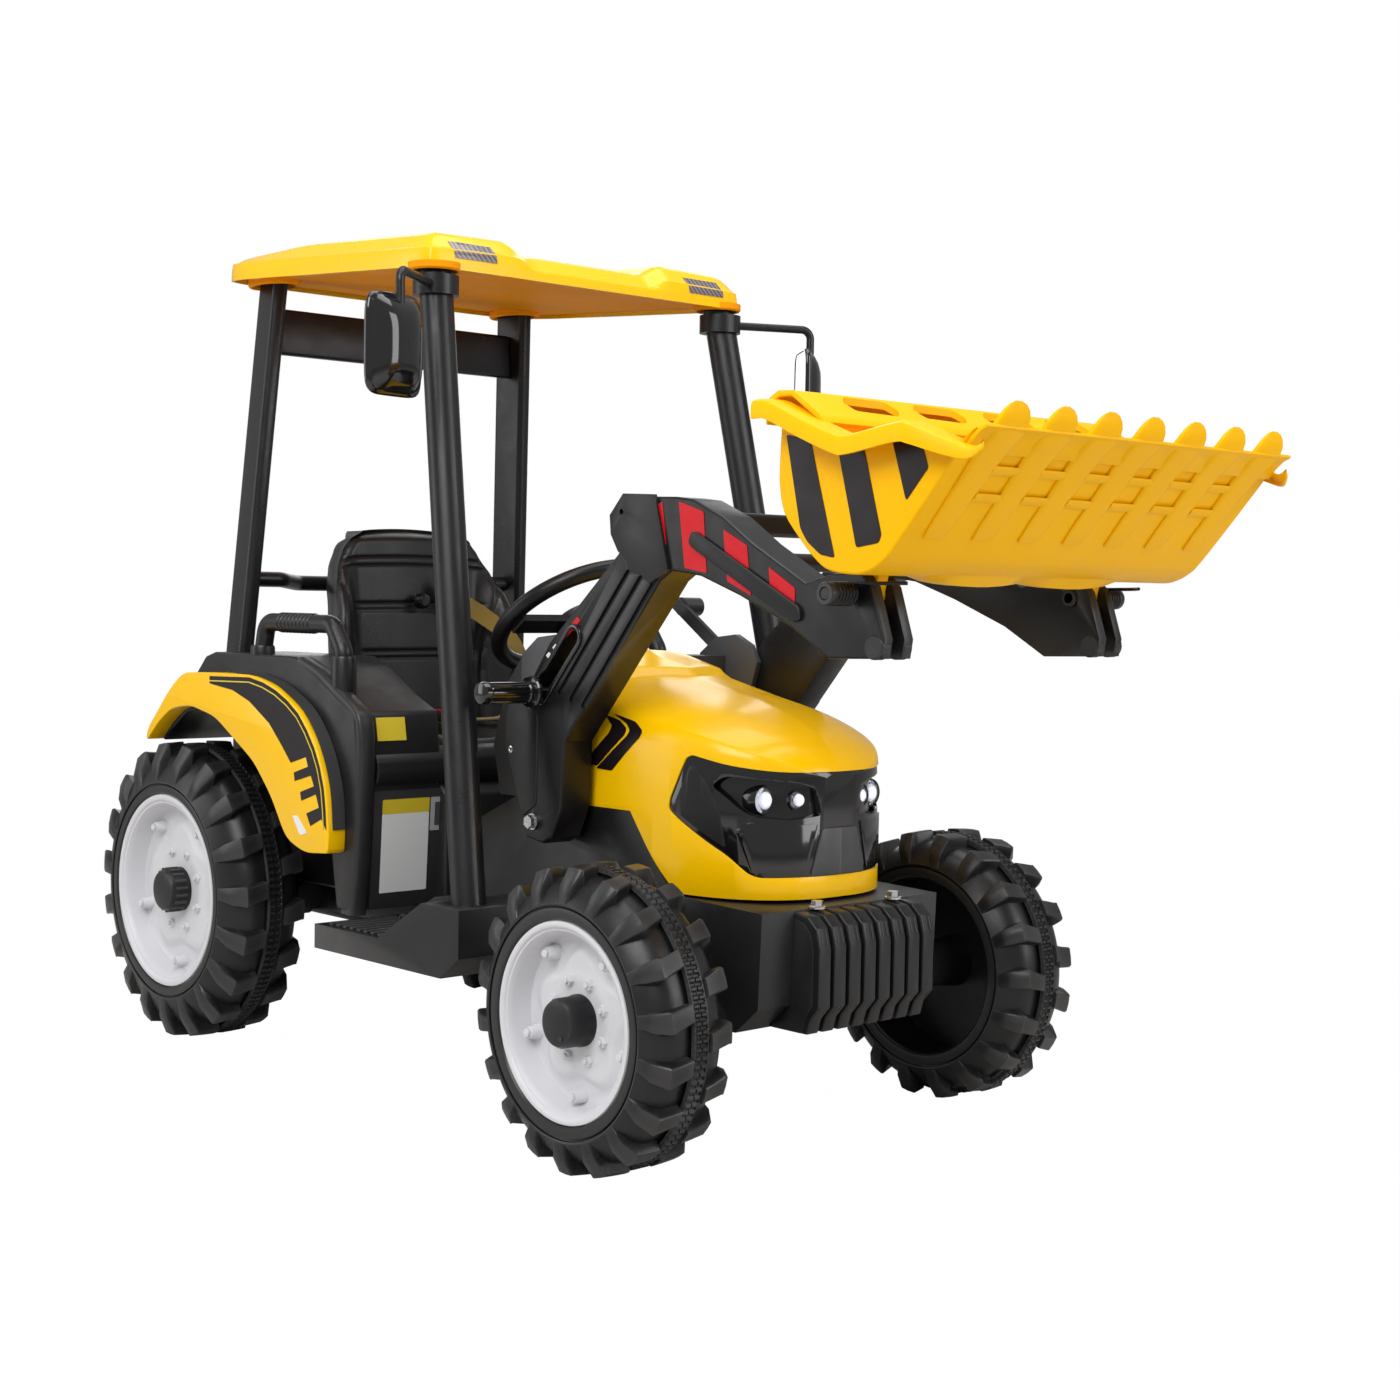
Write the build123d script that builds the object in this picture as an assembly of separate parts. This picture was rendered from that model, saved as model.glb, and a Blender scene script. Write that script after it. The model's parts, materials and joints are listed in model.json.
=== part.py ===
from build123d import *
import math
import os

# Ride-on toy tractor with a canopy roof and a front loader.
# Millimetres.  +X forward, +Y to the driver's left, +Z up, ground at Z = 0.
# The origin lies on the ground under the middle of the overall length.

# ---------------------------------------------------------------- wheels and axles
FRONT_AXLE_X = 280.0
REAR_AXLE_X = -550.0
FRONT_TYRE_R = 155.0
REAR_TYRE_R = 190.0
FRONT_TYRE_W = 102.0
REAR_TYRE_W = 108.0
FRONT_WHEEL_Y = 264.0        # middle plane of a front tyre
REAR_WHEEL_Y = 246.0         # middle plane of a rear tyre
FRONT_RIM_R = 115.0          # outside of the rim's black bead ring
REAR_RIM_R = 136.0
FRONT_LUGS = 18              # tread lugs on each side of a tyre
REAR_LUGS = 19
LUG_H = 11.0                 # height of a lug over the tyre's carcass
LUG_PITCH_SHARE = 0.46       # share of the pitch that a lug fills at the tread
AXLE_R = 6.0
MOTOR_R = 19.0
HUB_CLEAR = 0.4              # running clearance of a turning bore on its shaft

# ---------------------------------------------------------------- steering
KINGPIN_Y = 190.0
KINGPIN_R = 7.0
WHEEL_CENTRE = (-80.0, 0.0, 550.0)     # middle of the steering wheel
WHEEL_TILT = 35.0            # its plane leans this far from level, front edge up
WHEEL_RIM_R = 104.0
WHEEL_TUBE_R = 10.0

# ---------------------------------------------------------------- chassis and body
KEEL_HALF = 105.0
KEEL_BOTTOM = 148.0
KEEL_TOP = 205.0
BONNET_HALF = 133.0
BONNET_WALL = 4.0
BONNET_REAR_X = 34.0
SEAT_HALF = 145.0
CONSOLE_IN = 162.0           # inner face of a side console
CONSOLE_OUT = 262.0
FENDER_OUT = 286.0
CONSOLE_TOP = 497.0
STEP_OUT = 300.0
WEIGHT_BOTTOM = 132.0
STEP_BOTTOM = 165.0
STEP_TOP = 193.0
STEP_FRONT = 90.0
STEP_REAR = -190.0
SOCKET_TOP = 242.0

# ---------------------------------------------------------------- roof frame
POST_R = 19.0
FRONT_POST_TOP = (-82.0, 217.0, 944.0)
FRONT_POST_FOOT = (60.0, 262.0, 205.0)
REAR_POST_TOP = (-468.0, 191.0, 966.0)
REAR_POST_FOOT = (-508.0, 216.0, 480.0)
REAR_POST_LONG = 54.0        # section of a rear post, along X
REAR_POST_THIN = 20.0        # and across
ROOF_REAR_X = -520.0
ROOF_FRONT_X = -57.0
ROOF_HALF = 243.0
ROOF_WALL = 4.0
ROOF_EDGE_FRONT = 938.0      # height of the roof's lower edge at the front
ROOF_EDGE_REAR = 966.0       # and at the rear
ROOF_RISE = 44.0             # from the lower edge to the top skin

# ---------------------------------------------------------------- loader
PIVOT = (65.0, 327.0)        # X and Z of the loader's pivot bolts
BUCKET_PIN = (540.0, 581.0)  # X and Z of the bucket's hinge pins
ARM_IN = 142.0
ARM_OUT = 182.0
ARM_WALL = 12.0              # thickness of each cheek of the fork at the arm's tip
BOLT_R = 4.0                 # M8
BOLT_HEAD_R = 7.5
WASHER_R = 9.0
PIVOT_TUBE_R = 16.0
PIN_R = 6.0
SLOT_W = 17.0                # width of the slot for the tilt handle
HANDLE_STUB_R = 6.0
HANDLE_GRIP_R = 12.0
HANDLE_LEN = 74.0
BUCKET_HALF = 236.0
BUCKET_WALL = 5.0
LIP_OVERHANG = 28.0
TOOTH_COUNT = 7
TOOTH_PITCH = 65.5
TOOTH_W = 30.0
LIP_FRONT = 740.5            # tip of the teeth

# ---------------------------------------------------------------- mirrors
MIRROR_ARM = 122.0           # from the post's axis to the mirror's stem
MIRROR_REACH = 360.0         # outermost point of a housing from the middle
MIRROR_Z = 840.0
MIRROR_W = 84.0
MIRROR_DROP = 80.0           # from the bracket's arm down to the housing's middle
MIRROR_H = 110.0
MIRROR_DEEP = 26.0
MIRROR_TURN_RIGHT = -12.0    # how each housing is turned about its stem at rest
MIRROR_TURN_LEFT = 55.0
STEM_R = 5.0


def side_prism(points, y0, y1):
    """A closed X-Z outline, extruded from y0 to y1."""
    corners = [(x, y0, z) for x, z in points]
    face = make_face(Polyline(*corners, close=True))
    return extrude(face, amount=y1 - y0, dir=(0, 1, 0))


def plan_prism(points, z0, z1):
    """A closed X-Y outline, extruded from z0 to z1."""
    face = make_face(Polyline(*[(x, y, z0) for x, y in points], close=True))
    return extrude(face, amount=z1 - z0, dir=(0, 0, 1))


def front_prism(points, x0, x1):
    """A closed Y-Z outline, extruded from x0 to x1."""
    face = make_face(Polyline(*[(x0, y, z) for y, z in points], close=True))
    return extrude(face, amount=x1 - x0, dir=(1, 0, 0))


def block(x0, x1, y0, y1, z0, z1):
    """A box between two corners."""
    centre = ((x0 + x1) / 2, (y0 + y1) / 2, (z0 + z1) / 2)
    return Pos(*centre) * Box(x1 - x0, y1 - y0, z1 - z0)


def rod(start, end, radius):
    """A round bar between two points."""
    a, b = Vector(*start), Vector(*end)
    plane = Plane(origin=a, z_dir=b - a)
    return extrude(plane * Circle(radius), amount=(b - a).length)


def rod_y(x, z, y0, y1, radius):
    """A round bar along Y."""
    return rod((x, y0, z), (x, y1, z), radius)


def bent_tube(points, radius, bend):
    """A round bar along straight runs joined by arcs of one bend radius."""
    path = FilletPolyline(*points, radius=bend)
    start = Plane(origin=path @ 0, z_dir=path % 0)
    return sweep(start * Circle(radius), path=path)


def mirrored(shape):
    """The same piece on the other side of the vehicle."""
    return shape.mirror(Plane.XZ)


def softened(shape, radius, edges=None):
    """Round edges, with a smaller radius where the wall cannot take the whole."""
    chosen = edges if edges is not None else shape.edges()
    for share in (1.0, 0.6, 0.35):
        try:
            return fillet(chosen, radius * share)
        except Exception:
            continue
    return shape


def along_y(shape):
    """The edges that run along Y."""
    return shape.edges().filter_by(Axis.Y)


def post_place(top, foot, height):
    """Centre of a leaning post at a given height."""
    share = (height - foot[2]) / (top[2] - foot[2])
    return tuple(f + (t - f) * share for t, f in zip(top, foot))


# ================================================================ wheels
def tyre(x, radius, width, rim_radius, lugs, y):
    """Blow-moulded tyre: rounded carcass, staggered side lugs, centre band."""
    carcass_r = radius - LUG_H
    half = width / 2
    shoulder = 16.0
    bead = 9.0
    outline = [
        (rim_radius, half - bead),
        (rim_radius + 12, half),
        (carcass_r - shoulder, half),
        (carcass_r, half - shoulder),
        (carcass_r, shoulder - half),
        (carcass_r - shoulder, -half),
        (rim_radius + 12, -half),
        (rim_radius, bead - half),
    ]
    face = make_face(Polyline(*[(r, w, 0) for r, w in outline], close=True))
    body = revolve(face, axis=Axis.Y)
    pitch = 360.0 / lugs
    lug_w = 2 * math.pi * radius / lugs * LUG_PITCH_SHARE
    band = 9.0
    # A lug is a bar across half the tread that runs down over the shoulder.
    lug_outline = [(band, carcass_r - 4), (band, radius), (half - 12, radius), (half, radius - 13),
                   (half, carcass_r - 26), (half - 8, carcass_r - 26)]
    one_lug = front_prism(lug_outline, -lug_w / 2, lug_w / 2)
    other_lug = one_lug.mirror(Plane.XZ)
    turns = []
    for index in range(lugs):
        # One lug of the outer row points straight down, so the tyre rests on it.
        turns.append(Rot(0, 180 + index * pitch, 0) * one_lug)
        turns.append(Rot(0, 180 + (index + 0.5) * pitch, 0) * other_lug)
    return Pos(x, y, radius) * (body + turns)


def rim(x, radius, rim_radius, width, y, cap_out, cap_radius, hub_in, tyre_radius):
    """Dished rim with its bead ring, five bosses, and a bore for the axle."""
    half = width / 2
    bead = 9.0
    dish = 34.0
    skin = 6.0
    lip_r = rim_radius - 22
    outline = [
        (rim_radius, half - bead),
        (rim_radius, bead - half),
        (rim_radius - skin, bead - half),
        (rim_radius - skin, half - dish),
        (32, half - dish - 8),
        (32, hub_in),
        (AXLE_R + HUB_CLEAR, hub_in),
        (AXLE_R + HUB_CLEAR, half - dish + 2),
        (30, half - dish + 2),
        (34, half - dish + skin - 4),
        (lip_r - 8, half - dish + skin),
        (lip_r, half - 8),
        (rim_radius - 4, half - 4),
    ]
    face = make_face(Polyline(*[(r, w, 0) for r, w in outline], close=True))
    body = revolve(face, axis=Axis.Y)
    bosses = []
    for index in range(5):
        turn = Rot(0, 36 + 72 * index, 0)
        ear = rod((0, half - dish + 3, lip_r - 15), (0, half - 16, lip_r - 15), 6)
        bosses.append(turn * ear)
    cap = rod((0, half - dish + 2, 0), (0, cap_out - 6, 0), cap_radius)
    cap += Pos(0, cap_out - 6, 0) * Rot(-90, 0, 0) * Cone(cap_radius, cap_radius * 0.72, 6,
                                                         align=(Align.CENTER, Align.CENTER, Align.MIN))
    bored = (body + bosses) - rod((0, -half, 0), (0, half, 0), AXLE_R + HUB_CLEAR)
    cap -= rod((0, half - dish, 0), (0, half - dish + 12, 0), AXLE_R + HUB_CLEAR)
    place = Pos(x, y, tyre_radius)
    return [place * bored, place * cap]


# ================================================================ chassis
def nose_outline():
    """Side outline of the body under the bonnet; its top edge carries the bonnet."""
    return [
        (STEP_REAR + 60, KEEL_BOTTOM + 5),
        (STEP_REAR + 60, 300),
        (BONNET_REAR_X - 64, 345),
        (170, 345),
        (212, 290),
        (240, 262),
        (376, 258),
        (372, 160),
        (340, WEIGHT_BOTTOM),
        (FRONT_AXLE_X + 20, WEIGHT_BOTTOM),
    ]


def chassis():
    """Central moulded body: keel, nose and the sockets of both axles."""
    keel = block(-612, 322, -KEEL_HALF, KEEL_HALF, KEEL_BOTTOM, KEEL_TOP)
    keel = softened(keel, 10, keel.edges().filter_by(Axis.X))
    nose = side_prism(nose_outline(), -BONNET_HALF, BONNET_HALF)
    body = keel + nose
    beam_z = FRONT_TYRE_R
    body -= block(FRONT_AXLE_X - 20, FRONT_AXLE_X + 20, -150, 150, beam_z - 60, beam_z + 18)
    body -= rod_y(REAR_AXLE_X, REAR_TYRE_R, -KEEL_HALF - 1, KEEL_HALF + 1, AXLE_R)
    body -= rod_y(PIVOT[0], PIVOT[1], -BONNET_HALF - 1, BONNET_HALF + 1, PIVOT_TUBE_R)
    # room for the battery under the seat and for the steering shaft
    body -= battery_block()
    body -= shaft_room()
    body -= block(TIE_X - 12, TIE_X + 12, -150, 150, FRONT_TYRE_R - 26, FRONT_TYRE_R + 2)
    body -= button_bore()
    return body


def battery_block():
    return block(-330, -180, -55, 55, KEEL_BOTTOM + 8, KEEL_TOP + 40)


def steering_axis():
    """Unit vector from the steering wheel down its shaft."""
    tilt = math.radians(WHEEL_TILT)
    return (math.sin(tilt), 0.0, -math.cos(tilt))


def shaft_point(distance):
    ax, ay, az = steering_axis()
    return (WHEEL_CENTRE[0] + ax * distance, 0.0, WHEEL_CENTRE[2] + az * distance)


SHAFT_LEN = 184.0
SHAFT_R = 7.0


def shaft_room():
    return rod(shaft_point(0), shaft_point(SHAFT_LEN + 4), SHAFT_R + HUB_CLEAR)


def front_axle():
    """Steel beam with a fork eye at each end for the kingpin."""
    z = FRONT_TYRE_R
    beam = block(FRONT_AXLE_X - 18, FRONT_AXLE_X + 18, -150, 150, z - 16, z + 18)
    parts = [beam]
    for side in (-1, 1):
        y = side * KINGPIN_Y
        arm = block(FRONT_AXLE_X - 14, FRONT_AXLE_X + 14,
                    min(side * 149, y), max(side * 149, y), z - 30, z + 32)
        eye = rod((FRONT_AXLE_X, y, z - 30), (FRONT_AXLE_X, y, z + 32), 14)
        parts.append(arm + eye)
    beam = parts[0] + parts[1:]
    for side in (-1, 1):
        y = side * KINGPIN_Y
        room = block(FRONT_AXLE_X - 17, FRONT_AXLE_X + 17,
                     min(side * 168, side * 215), max(side * 168, side * 215), z - 18.5, z + 20.5)
        beam -= room
        beam -= rod((FRONT_AXLE_X, y, z - 40), (FRONT_AXLE_X, y, z + 40), KINGPIN_R + 0.3)
    return beam


def knuckle(side):
    """Kingpin block with its stub axle and steering arm."""
    z = FRONT_TYRE_R
    y = side * KINGPIN_Y
    hub = rod((FRONT_AXLE_X, y, z - 18), (FRONT_AXLE_X, y, z + 20), 13)
    pin = rod((FRONT_AXLE_X, y, z - 34), (FRONT_AXLE_X, y, z + 36), KINGPIN_R)
    stub = rod_y(FRONT_AXLE_X, z, min(y, side * (FRONT_WHEEL_Y + 18)),
                 max(y, side * (FRONT_WHEEL_Y + 18)), AXLE_R)
    arm = block(FRONT_AXLE_X - 52, FRONT_AXLE_X, y - 6, y + 6, z - 5, z + 5)
    end = rod((TIE_X, y, z - 6), (TIE_X, y, z + 6), 8)
    return hub + pin + stub + arm + end


TIE_X = FRONT_AXLE_X - 52
TIE_BELOW = 13.0


def tie_rod():
    """Round track rod under the two steering arms, with an eye at each end."""
    z = FRONT_TYRE_R - TIE_BELOW
    bar = rod_y(TIE_X, z, -KINGPIN_Y + 4, KINGPIN_Y - 4, 4.5)
    eyes = [rod((TIE_X, s * KINGPIN_Y, z - 5), (TIE_X, s * KINGPIN_Y, z + 6.5), 8) for s in (-1, 1)]
    return bar + eyes


def rear_axle():
    reach = REAR_WHEEL_Y + 22
    return rod_y(REAR_AXLE_X, REAR_TYRE_R, -reach, reach, AXLE_R)


def drive_motors():
    """Two gearboxes with their motors, one beside each end of the keel."""
    units = []
    for side in (-1, 1):
        y0, y1 = side * KEEL_HALF, side * (REAR_WHEEL_Y - REAR_TYRE_W / 2 + 4)
        lo, hi = min(y0, y1), max(y0, y1)
        gear = block(REAR_AXLE_X - 40, REAR_AXLE_X + 48, lo, hi, KEEL_BOTTOM, KEEL_TOP - 1)
        gear = softened(gear, 12, along_y(gear))
        motor_z = KEEL_TOP - 1 - MOTOR_R
        motor = rod((REAR_AXLE_X + 48, (lo + hi) / 2, motor_z),
                    (REAR_AXLE_X + 112, (lo + hi) / 2, motor_z), MOTOR_R)
        unit = gear + motor
        unit -= rod_y(REAR_AXLE_X, REAR_TYRE_R, lo - 1, hi + 1, AXLE_R)
        units.append(unit)
    return units


def battery():
    room = 1.0
    return block(-330 + room, -180 - room, -55 + room, 55 - room, KEEL_BOTTOM + 8, KEEL_TOP + 38)


# ================================================================ driver's place
def seat_box():
    """Moulded box between the side consoles that carries the seat."""
    outline = [(-470, KEEL_TOP), (-470, 352), (-440, 392), (-176, 360), (-150, 336), (-150, KEEL_TOP)]
    body = side_prism(outline, -SEAT_HALF, SEAT_HALF)
    hollow = side_prism([(-455, KEEL_TOP - 1), (-455, 340), (-190, 330), (-165, KEEL_TOP - 1)],
                        -SEAT_HALF + 8, SEAT_HALF - 8)
    return body - hollow


def console_top():
    """Upper edge of a side console, from the tail forwards and down to the step."""
    return [
        (-628, 392), (-560, 446), (-512, CONSOLE_TOP - 6), (-490, CONSOLE_TOP),
        (-300, CONSOLE_TOP), (-262, 482), (-206, 452), (-168, 436), (-160, 380), (-172, KEEL_TOP),
    ]


def console_outline():
    """Side outline of a console's outer part, arched over the wheel."""
    arch = [
        (-205, KEEL_TOP), (-222, 300), (-262, 372), (-330, 420), (-420, 432), (-507, 424),
        (-560, 416), (-600, 392), (-622, 376),
    ]
    return console_top() + arch


def console(side):
    """Black side console: a wall beside the seat box and an arch over the wheel."""
    wheel_side = side_prism(console_outline(), *spread(side, SEAT_HALF, CONSOLE_OUT))
    wall_outline = [(-600, KEEL_TOP), (-600, 410)] + console_top()[1:]
    wall = side_prism(wall_outline, *spread(side, SEAT_HALF, CONSOLE_IN + 10))
    return wheel_side + wall - rear_post(side)


def fender(side):
    """Yellow outer fender that follows the wheel and ends in a raised tail."""
    outline = [
        (-622, 376), (-618, 394), (-560, 448), (-526, 470), (-474, 471), (-386, 469), (-340, 452),
        (-294, 420), (-252, 388), (-230, 362), (-204, 318), (-199, 290), (-199, 272), (-236, 269),
        (-277, 282), (-312, 330), (-352, 368), (-391, 389), (-446, 418), (-507, 429),
        (-556, 423), (-592, 402),
    ]
    y0, y1 = side * CONSOLE_OUT, side * FENDER_OUT
    band = side_prism(outline, min(y0, y1), max(y0, y1))
    return band


def step(side):
    """Foot step with a raised post socket and a ridged tread."""
    outline = [
        (STEP_REAR, STEP_BOTTOM), (STEP_REAR, STEP_TOP), (-62, STEP_TOP), (22, SOCKET_TOP),
        (STEP_FRONT, SOCKET_TOP), (STEP_FRONT, 190), (58, STEP_BOTTOM),
    ]
    y0, y1 = side * KEEL_HALF, side * STEP_OUT
    body = side_prism(outline, min(y0, y1), max(y0, y1))
    body -= block(-140, 400, min(0, side * (BONNET_HALF)), max(0, side * BONNET_HALF), 0, 600)
    ridges = []
    for index in range(8):
        x = STEP_REAR + 16 + index * 14
        ridges.append(block(x, x + 6, min(side * 200, side * (STEP_OUT - 10)),
                            max(side * 200, side * (STEP_OUT - 10)), STEP_TOP, STEP_TOP + 2.5))
    body = body + ridges
    if side < 0:
        body = body - block(-116, -60, PEDAL_Y[0] - 6, PEDAL_Y[1] + 6, STEP_TOP, STEP_TOP + 3)
        body = body + pedal_lugs()
    foot = rod(mirror_y(FRONT_POST_FOOT, side), mirror_y(FRONT_POST_TOP, side), POST_R)
    return body - foot


def spread(side, near, far):
    """The lower and the higher of two distances from the middle, on one side."""
    return min(side * near, side * far), max(side * near, side * far)


def mirror_y(point, side):
    return (point[0], side * point[1], point[2])


def seat_back():
    """Bucket seat back with wrapped bolsters."""
    half = SEAT_HALF - 2
    plan = [(-462, -118), (-420, -half), (-372, -half), (-366, -half + 20), (-408, -100), (-412, 0),
            (-408, 100), (-366, half - 20), (-372, half), (-420, half), (-462, 118)]
    body = plan_prism(plan, 396, 662)
    lean = Pos(-410, 0, 396) * Rot(0, -5, 0) * Pos(410, 0, -396)
    body = lean * body
    top_corner = front_prism([(-170, 662), (-170, 560), (-150, 560), (-118, 640), (-96, 700), (-170, 700)],
                             -560, -300)
    body -= top_corner
    body -= mirrored(top_corner)
    return body


def seat_pan():
    outline = [(-402, 392), (-402, 408), (-190, 404), (-168, 392), (-168, 372), (-178, 361)]
    body = side_prism(outline, -SEAT_HALF + 1, SEAT_HALF - 1)
    return keep_largest(body - seat_back())


def lap_belt():
    """Webbing across the seat, one anchor button and the buckle halves."""
    z = 407.6
    strap = side_prism([(-366, z), (-366, z + 3), (-320, z + 3), (-320, z)], -120, 120)
    buckle = block(-374, -312, -26, 26, z + 3, z + 17)
    return [strap, softened(buckle, 3)]


def grab_handles():
    """Bent tube with a foot at each end on top of each console."""
    tubes = []
    for side in (-1, 1):
        y = side * 246
        start = (-398, y, CONSOLE_TOP)
        points = [start, (-388, y, 537), (-240, y, 537), (-216, y, 505), (-216, y, CONSOLE_TOP - 44)]
        tube = bent_tube(points, 11, 18)
        tube -= side_prism(console_outline(), min(side * 150, side * 300), max(side * 150, side * 300))
        tubes.append(tube)
    return tubes


# ================================================================ bonnet and dash
# Cross sections of the hood: X, half width, height where the side ends, height of the
# shoulder, height at the quarter and height of the crown.
BONNET_SECTIONS = (
    (BONNET_REAR_X, BONNET_HALF, 448.0, 480.0, 502.0, 508.0),
    (100.0, BONNET_HALF, 440.0, 466.0, 486.0, 493.0),
    (180.0, BONNET_HALF - 1, 430.0, 450.0, 468.0, 475.0),
    (260.0, BONNET_HALF - 13, 420.0, 436.0, 451.0, 457.0),
    (320.0, BONNET_HALF - 33, 407.0, 417.0, 428.0, 433.0),
    (348.0, BONNET_HALF - 72, 398.0, 402.0, 407.0, 409.0),
)
BONNET_EDGE = [(BONNET_REAR_X - 1, 345), (170, 345), (212, 290), (240, 262), (420, 262)]


def bonnet_solid(inset):
    """The hood's whole outer form, from a loft through its sections."""
    faces = []
    for x, half, side_z, shoulder_z, quarter_z, crown_z in BONNET_SECTIONS:
        w = half - inset
        right = [(-w, 250), (-w, side_z - inset), (-w * 0.88, shoulder_z - inset),
                 (-w * 0.5, quarter_z - inset)]
        points = right + [(0, crown_z - inset)] + [(-y, z) for y, z in reversed(right)]
        place = x - inset if x > 300 else x
        faces.append(make_face(Polyline(*[(place, y, z) for y, z in points], close=True)))
    return loft(faces, ruled=True)


def above_edge():
    """Everything above the hood's lower edge."""
    return side_prism(BONNET_EDGE + [(420, 700), (BONNET_REAR_X - 1, 700)], -200, 200)


def bonnet():
    """One-piece yellow hood: crowned top, flat sides, drawn in towards the front."""
    rear_wall = block(BONNET_REAR_X - 1, BONNET_REAR_X + BONNET_WALL, -200, 200, 0, 700)
    shell = bonnet_solid(0) - (bonnet_solid(BONNET_WALL) - rear_wall)
    return keep_largest((shell & above_edge()) - mask_block())


def mask_block():
    """The space of the black front panel, which wraps round the hood's nose."""
    outline = [(222, 352), (234, 406), (300, 398), (400, 392), (400, 285), (322, 285), (300, 306)]
    return side_prism(outline, -200, 200)


def front_mask():
    """Glossy black front panel with its light recesses."""
    solid = (bonnet_solid(0.8) - bonnet_solid(10.0)) & mask_block()
    for side in (-1, 1):
        for x, y, radius in LAMPS:
            solid -= rod((x - 40, side * y, LAMP_Z), (x + 60, side * y, LAMP_Z), radius)
    return keep_largest(solid)


LAMP_Z = 367.0
LAMPS = ((322.0, 80.0, 15.0), (335.0, 48.0, 12.0))


def headlights():
    """Four round lenses that fill the bores of the front panel."""
    front = bonnet_solid(0.4)
    lenses = []
    for side in (-1, 1):
        for x, y, radius in LAMPS:
            lens = rod((x - 16, side * y, LAMP_Z), (x + 40, side * y, LAMP_Z), radius)
            lenses.append(keep_largest(lens & front))
    return lenses


def dashboard():
    """Cowl behind the bonnet with a sloping instrument face."""
    outline = [(-60, 345), (-74, 400), (-52, 470), (-22, 506), (BONNET_REAR_X, 506), (BONNET_REAR_X, 345)]
    body = side_prism(outline, -BONNET_HALF, BONNET_HALF)
    body -= shaft_room()
    face = Plane(origin=(-63, 0, 435), x_dir=(0, 1, 0), z_dir=(-0.95, 0, 0.30))
    for y in (-70, 70):
        body -= extrude(face * Pos(y, 0, 0) * Circle(14), amount=6, both=True)
    return body


def side_covers():
    """Rounded plate outside each end of the dash that guards the loader's base."""
    covers = []
    for side in (-1, 1):
        outline = [(10, 345), (-14, 440), (-12, 508), (16, 528), (50, 532), (76, 520), (88, 500),
                   (70, 440), (20, 345)]
        y0, y1 = side * BONNET_HALF, side * (ARM_IN - 1.0)
        covers.append(side_prism(outline, min(y0, y1), max(y0, y1)))
    pin = rod_y(LEVER_PIVOT[0], LEVER_PIVOT[1], ARM_IN - 1.5, ARM_IN + 6, 4.0)
    head = rod_y(LEVER_PIVOT[0], LEVER_PIVOT[1], ARM_IN + 5.4, ARM_IN + 8, 7.0)
    covers[1] = covers[1] + pin + head
    return covers


def pivot_tube():
    """Steel cross tube that carries both loader arms."""
    reach = ARM_IN - 0.4
    tube = rod_y(PIVOT[0], PIVOT[1], -reach, reach, PIVOT_TUBE_R)
    return tube - rod_y(PIVOT[0], PIVOT[1], -reach - 1, reach + 1, BOLT_R)


def pivot_bolts():
    """M8 bolt, washer and nut through each arm, and two bolts over the bumper."""
    solids = []
    for side in (-1, 1):
        y_in, y_out = side * (ARM_IN - 40), side * (ARM_OUT + 0.4)
        shank = rod_y(PIVOT[0], PIVOT[1], min(y_in, y_out), max(y_in, y_out), BOLT_R)
        washer = rod_y(PIVOT[0], PIVOT[1], min(y_out, y_out + side * 2), max(y_out, y_out + side * 2),
                       WASHER_R)
        head_y = y_out + side * 2
        plane = Plane(origin=(PIVOT[0], head_y, PIVOT[1]), z_dir=(0, side, 0))
        head = extrude(plane * RegularPolygon(BOLT_HEAD_R, 6), amount=6)
        solids.append(shank + washer + head)
        base = Pos(380, side * 58, 258.3)
        bolt = base * Pos(0, 0, 1) * Cylinder(WASHER_R, 2)
        cap = base * Pos(0, 0, 2) * extrude(RegularPolygon(6.5, 6), amount=6)
        solids.append(bolt + cap)
    return solids


def front_weights():
    """Stack of ribbed ballast plates on the bumper."""
    outline = [(340, WEIGHT_BOTTOM), (372, 160), (376, 258), (396, 254), (408, 244), (414, 222),
               (414, 162), (402, 150), (398, WEIGHT_BOTTOM)]
    plates = []
    count = 8
    pitch = 180.0 / count
    for index in range(count):
        y0 = -90 + index * pitch
        plates.append(side_prism(outline, y0 + 2.2, y0 + pitch - 2.2))
    core = [(340, WEIGHT_BOTTOM), (372, 160), (376, 258), (392, 250), (402, 240), (406, 222),
            (406, 162), (394, 147), (390, WEIGHT_BOTTOM)]
    return side_prism(core, -90, 90) + plates


PEDAL_PIVOT = (-104.0, 201.0)
PEDAL_Y = (-234.0, -198.0)
PEDAL_PIN_R = 4.0


def pedal():
    """Accelerator plate on a cross pin over the right step."""
    x, z = PEDAL_PIVOT
    plate = side_prism([(x, z - 2), (x - 1, z + 3), (x + 58, z + 34), (x + 61, z + 29)], *PEDAL_Y)
    pin = rod_y(x, z, PEDAL_Y[0] - 3.4, PEDAL_Y[1] + 3.4, PEDAL_PIN_R)
    return plate + pin


def pedal_lugs():
    """Two ears on the right step that carry the pedal's pin."""
    x, z = PEDAL_PIVOT
    ears = []
    for y0, y1 in ((PEDAL_Y[0] - 4, PEDAL_Y[0] - 0.4), (PEDAL_Y[1] + 0.4, PEDAL_Y[1] + 4)):
        ear = block(x - 8, x + 8, y0, y1, STEP_TOP - 2, z) + rod_y(x, z, y0, y1, 8)
        ears.append(ear - rod_y(x, z, y0 - 1, y1 + 1, PEDAL_PIN_R + 0.3))
    return ears


# ================================================================ roof frame
def front_post(side):
    post = rod(mirror_y(FRONT_POST_FOOT, side), mirror_y(FRONT_POST_TOP, side), POST_R)
    return post


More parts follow.
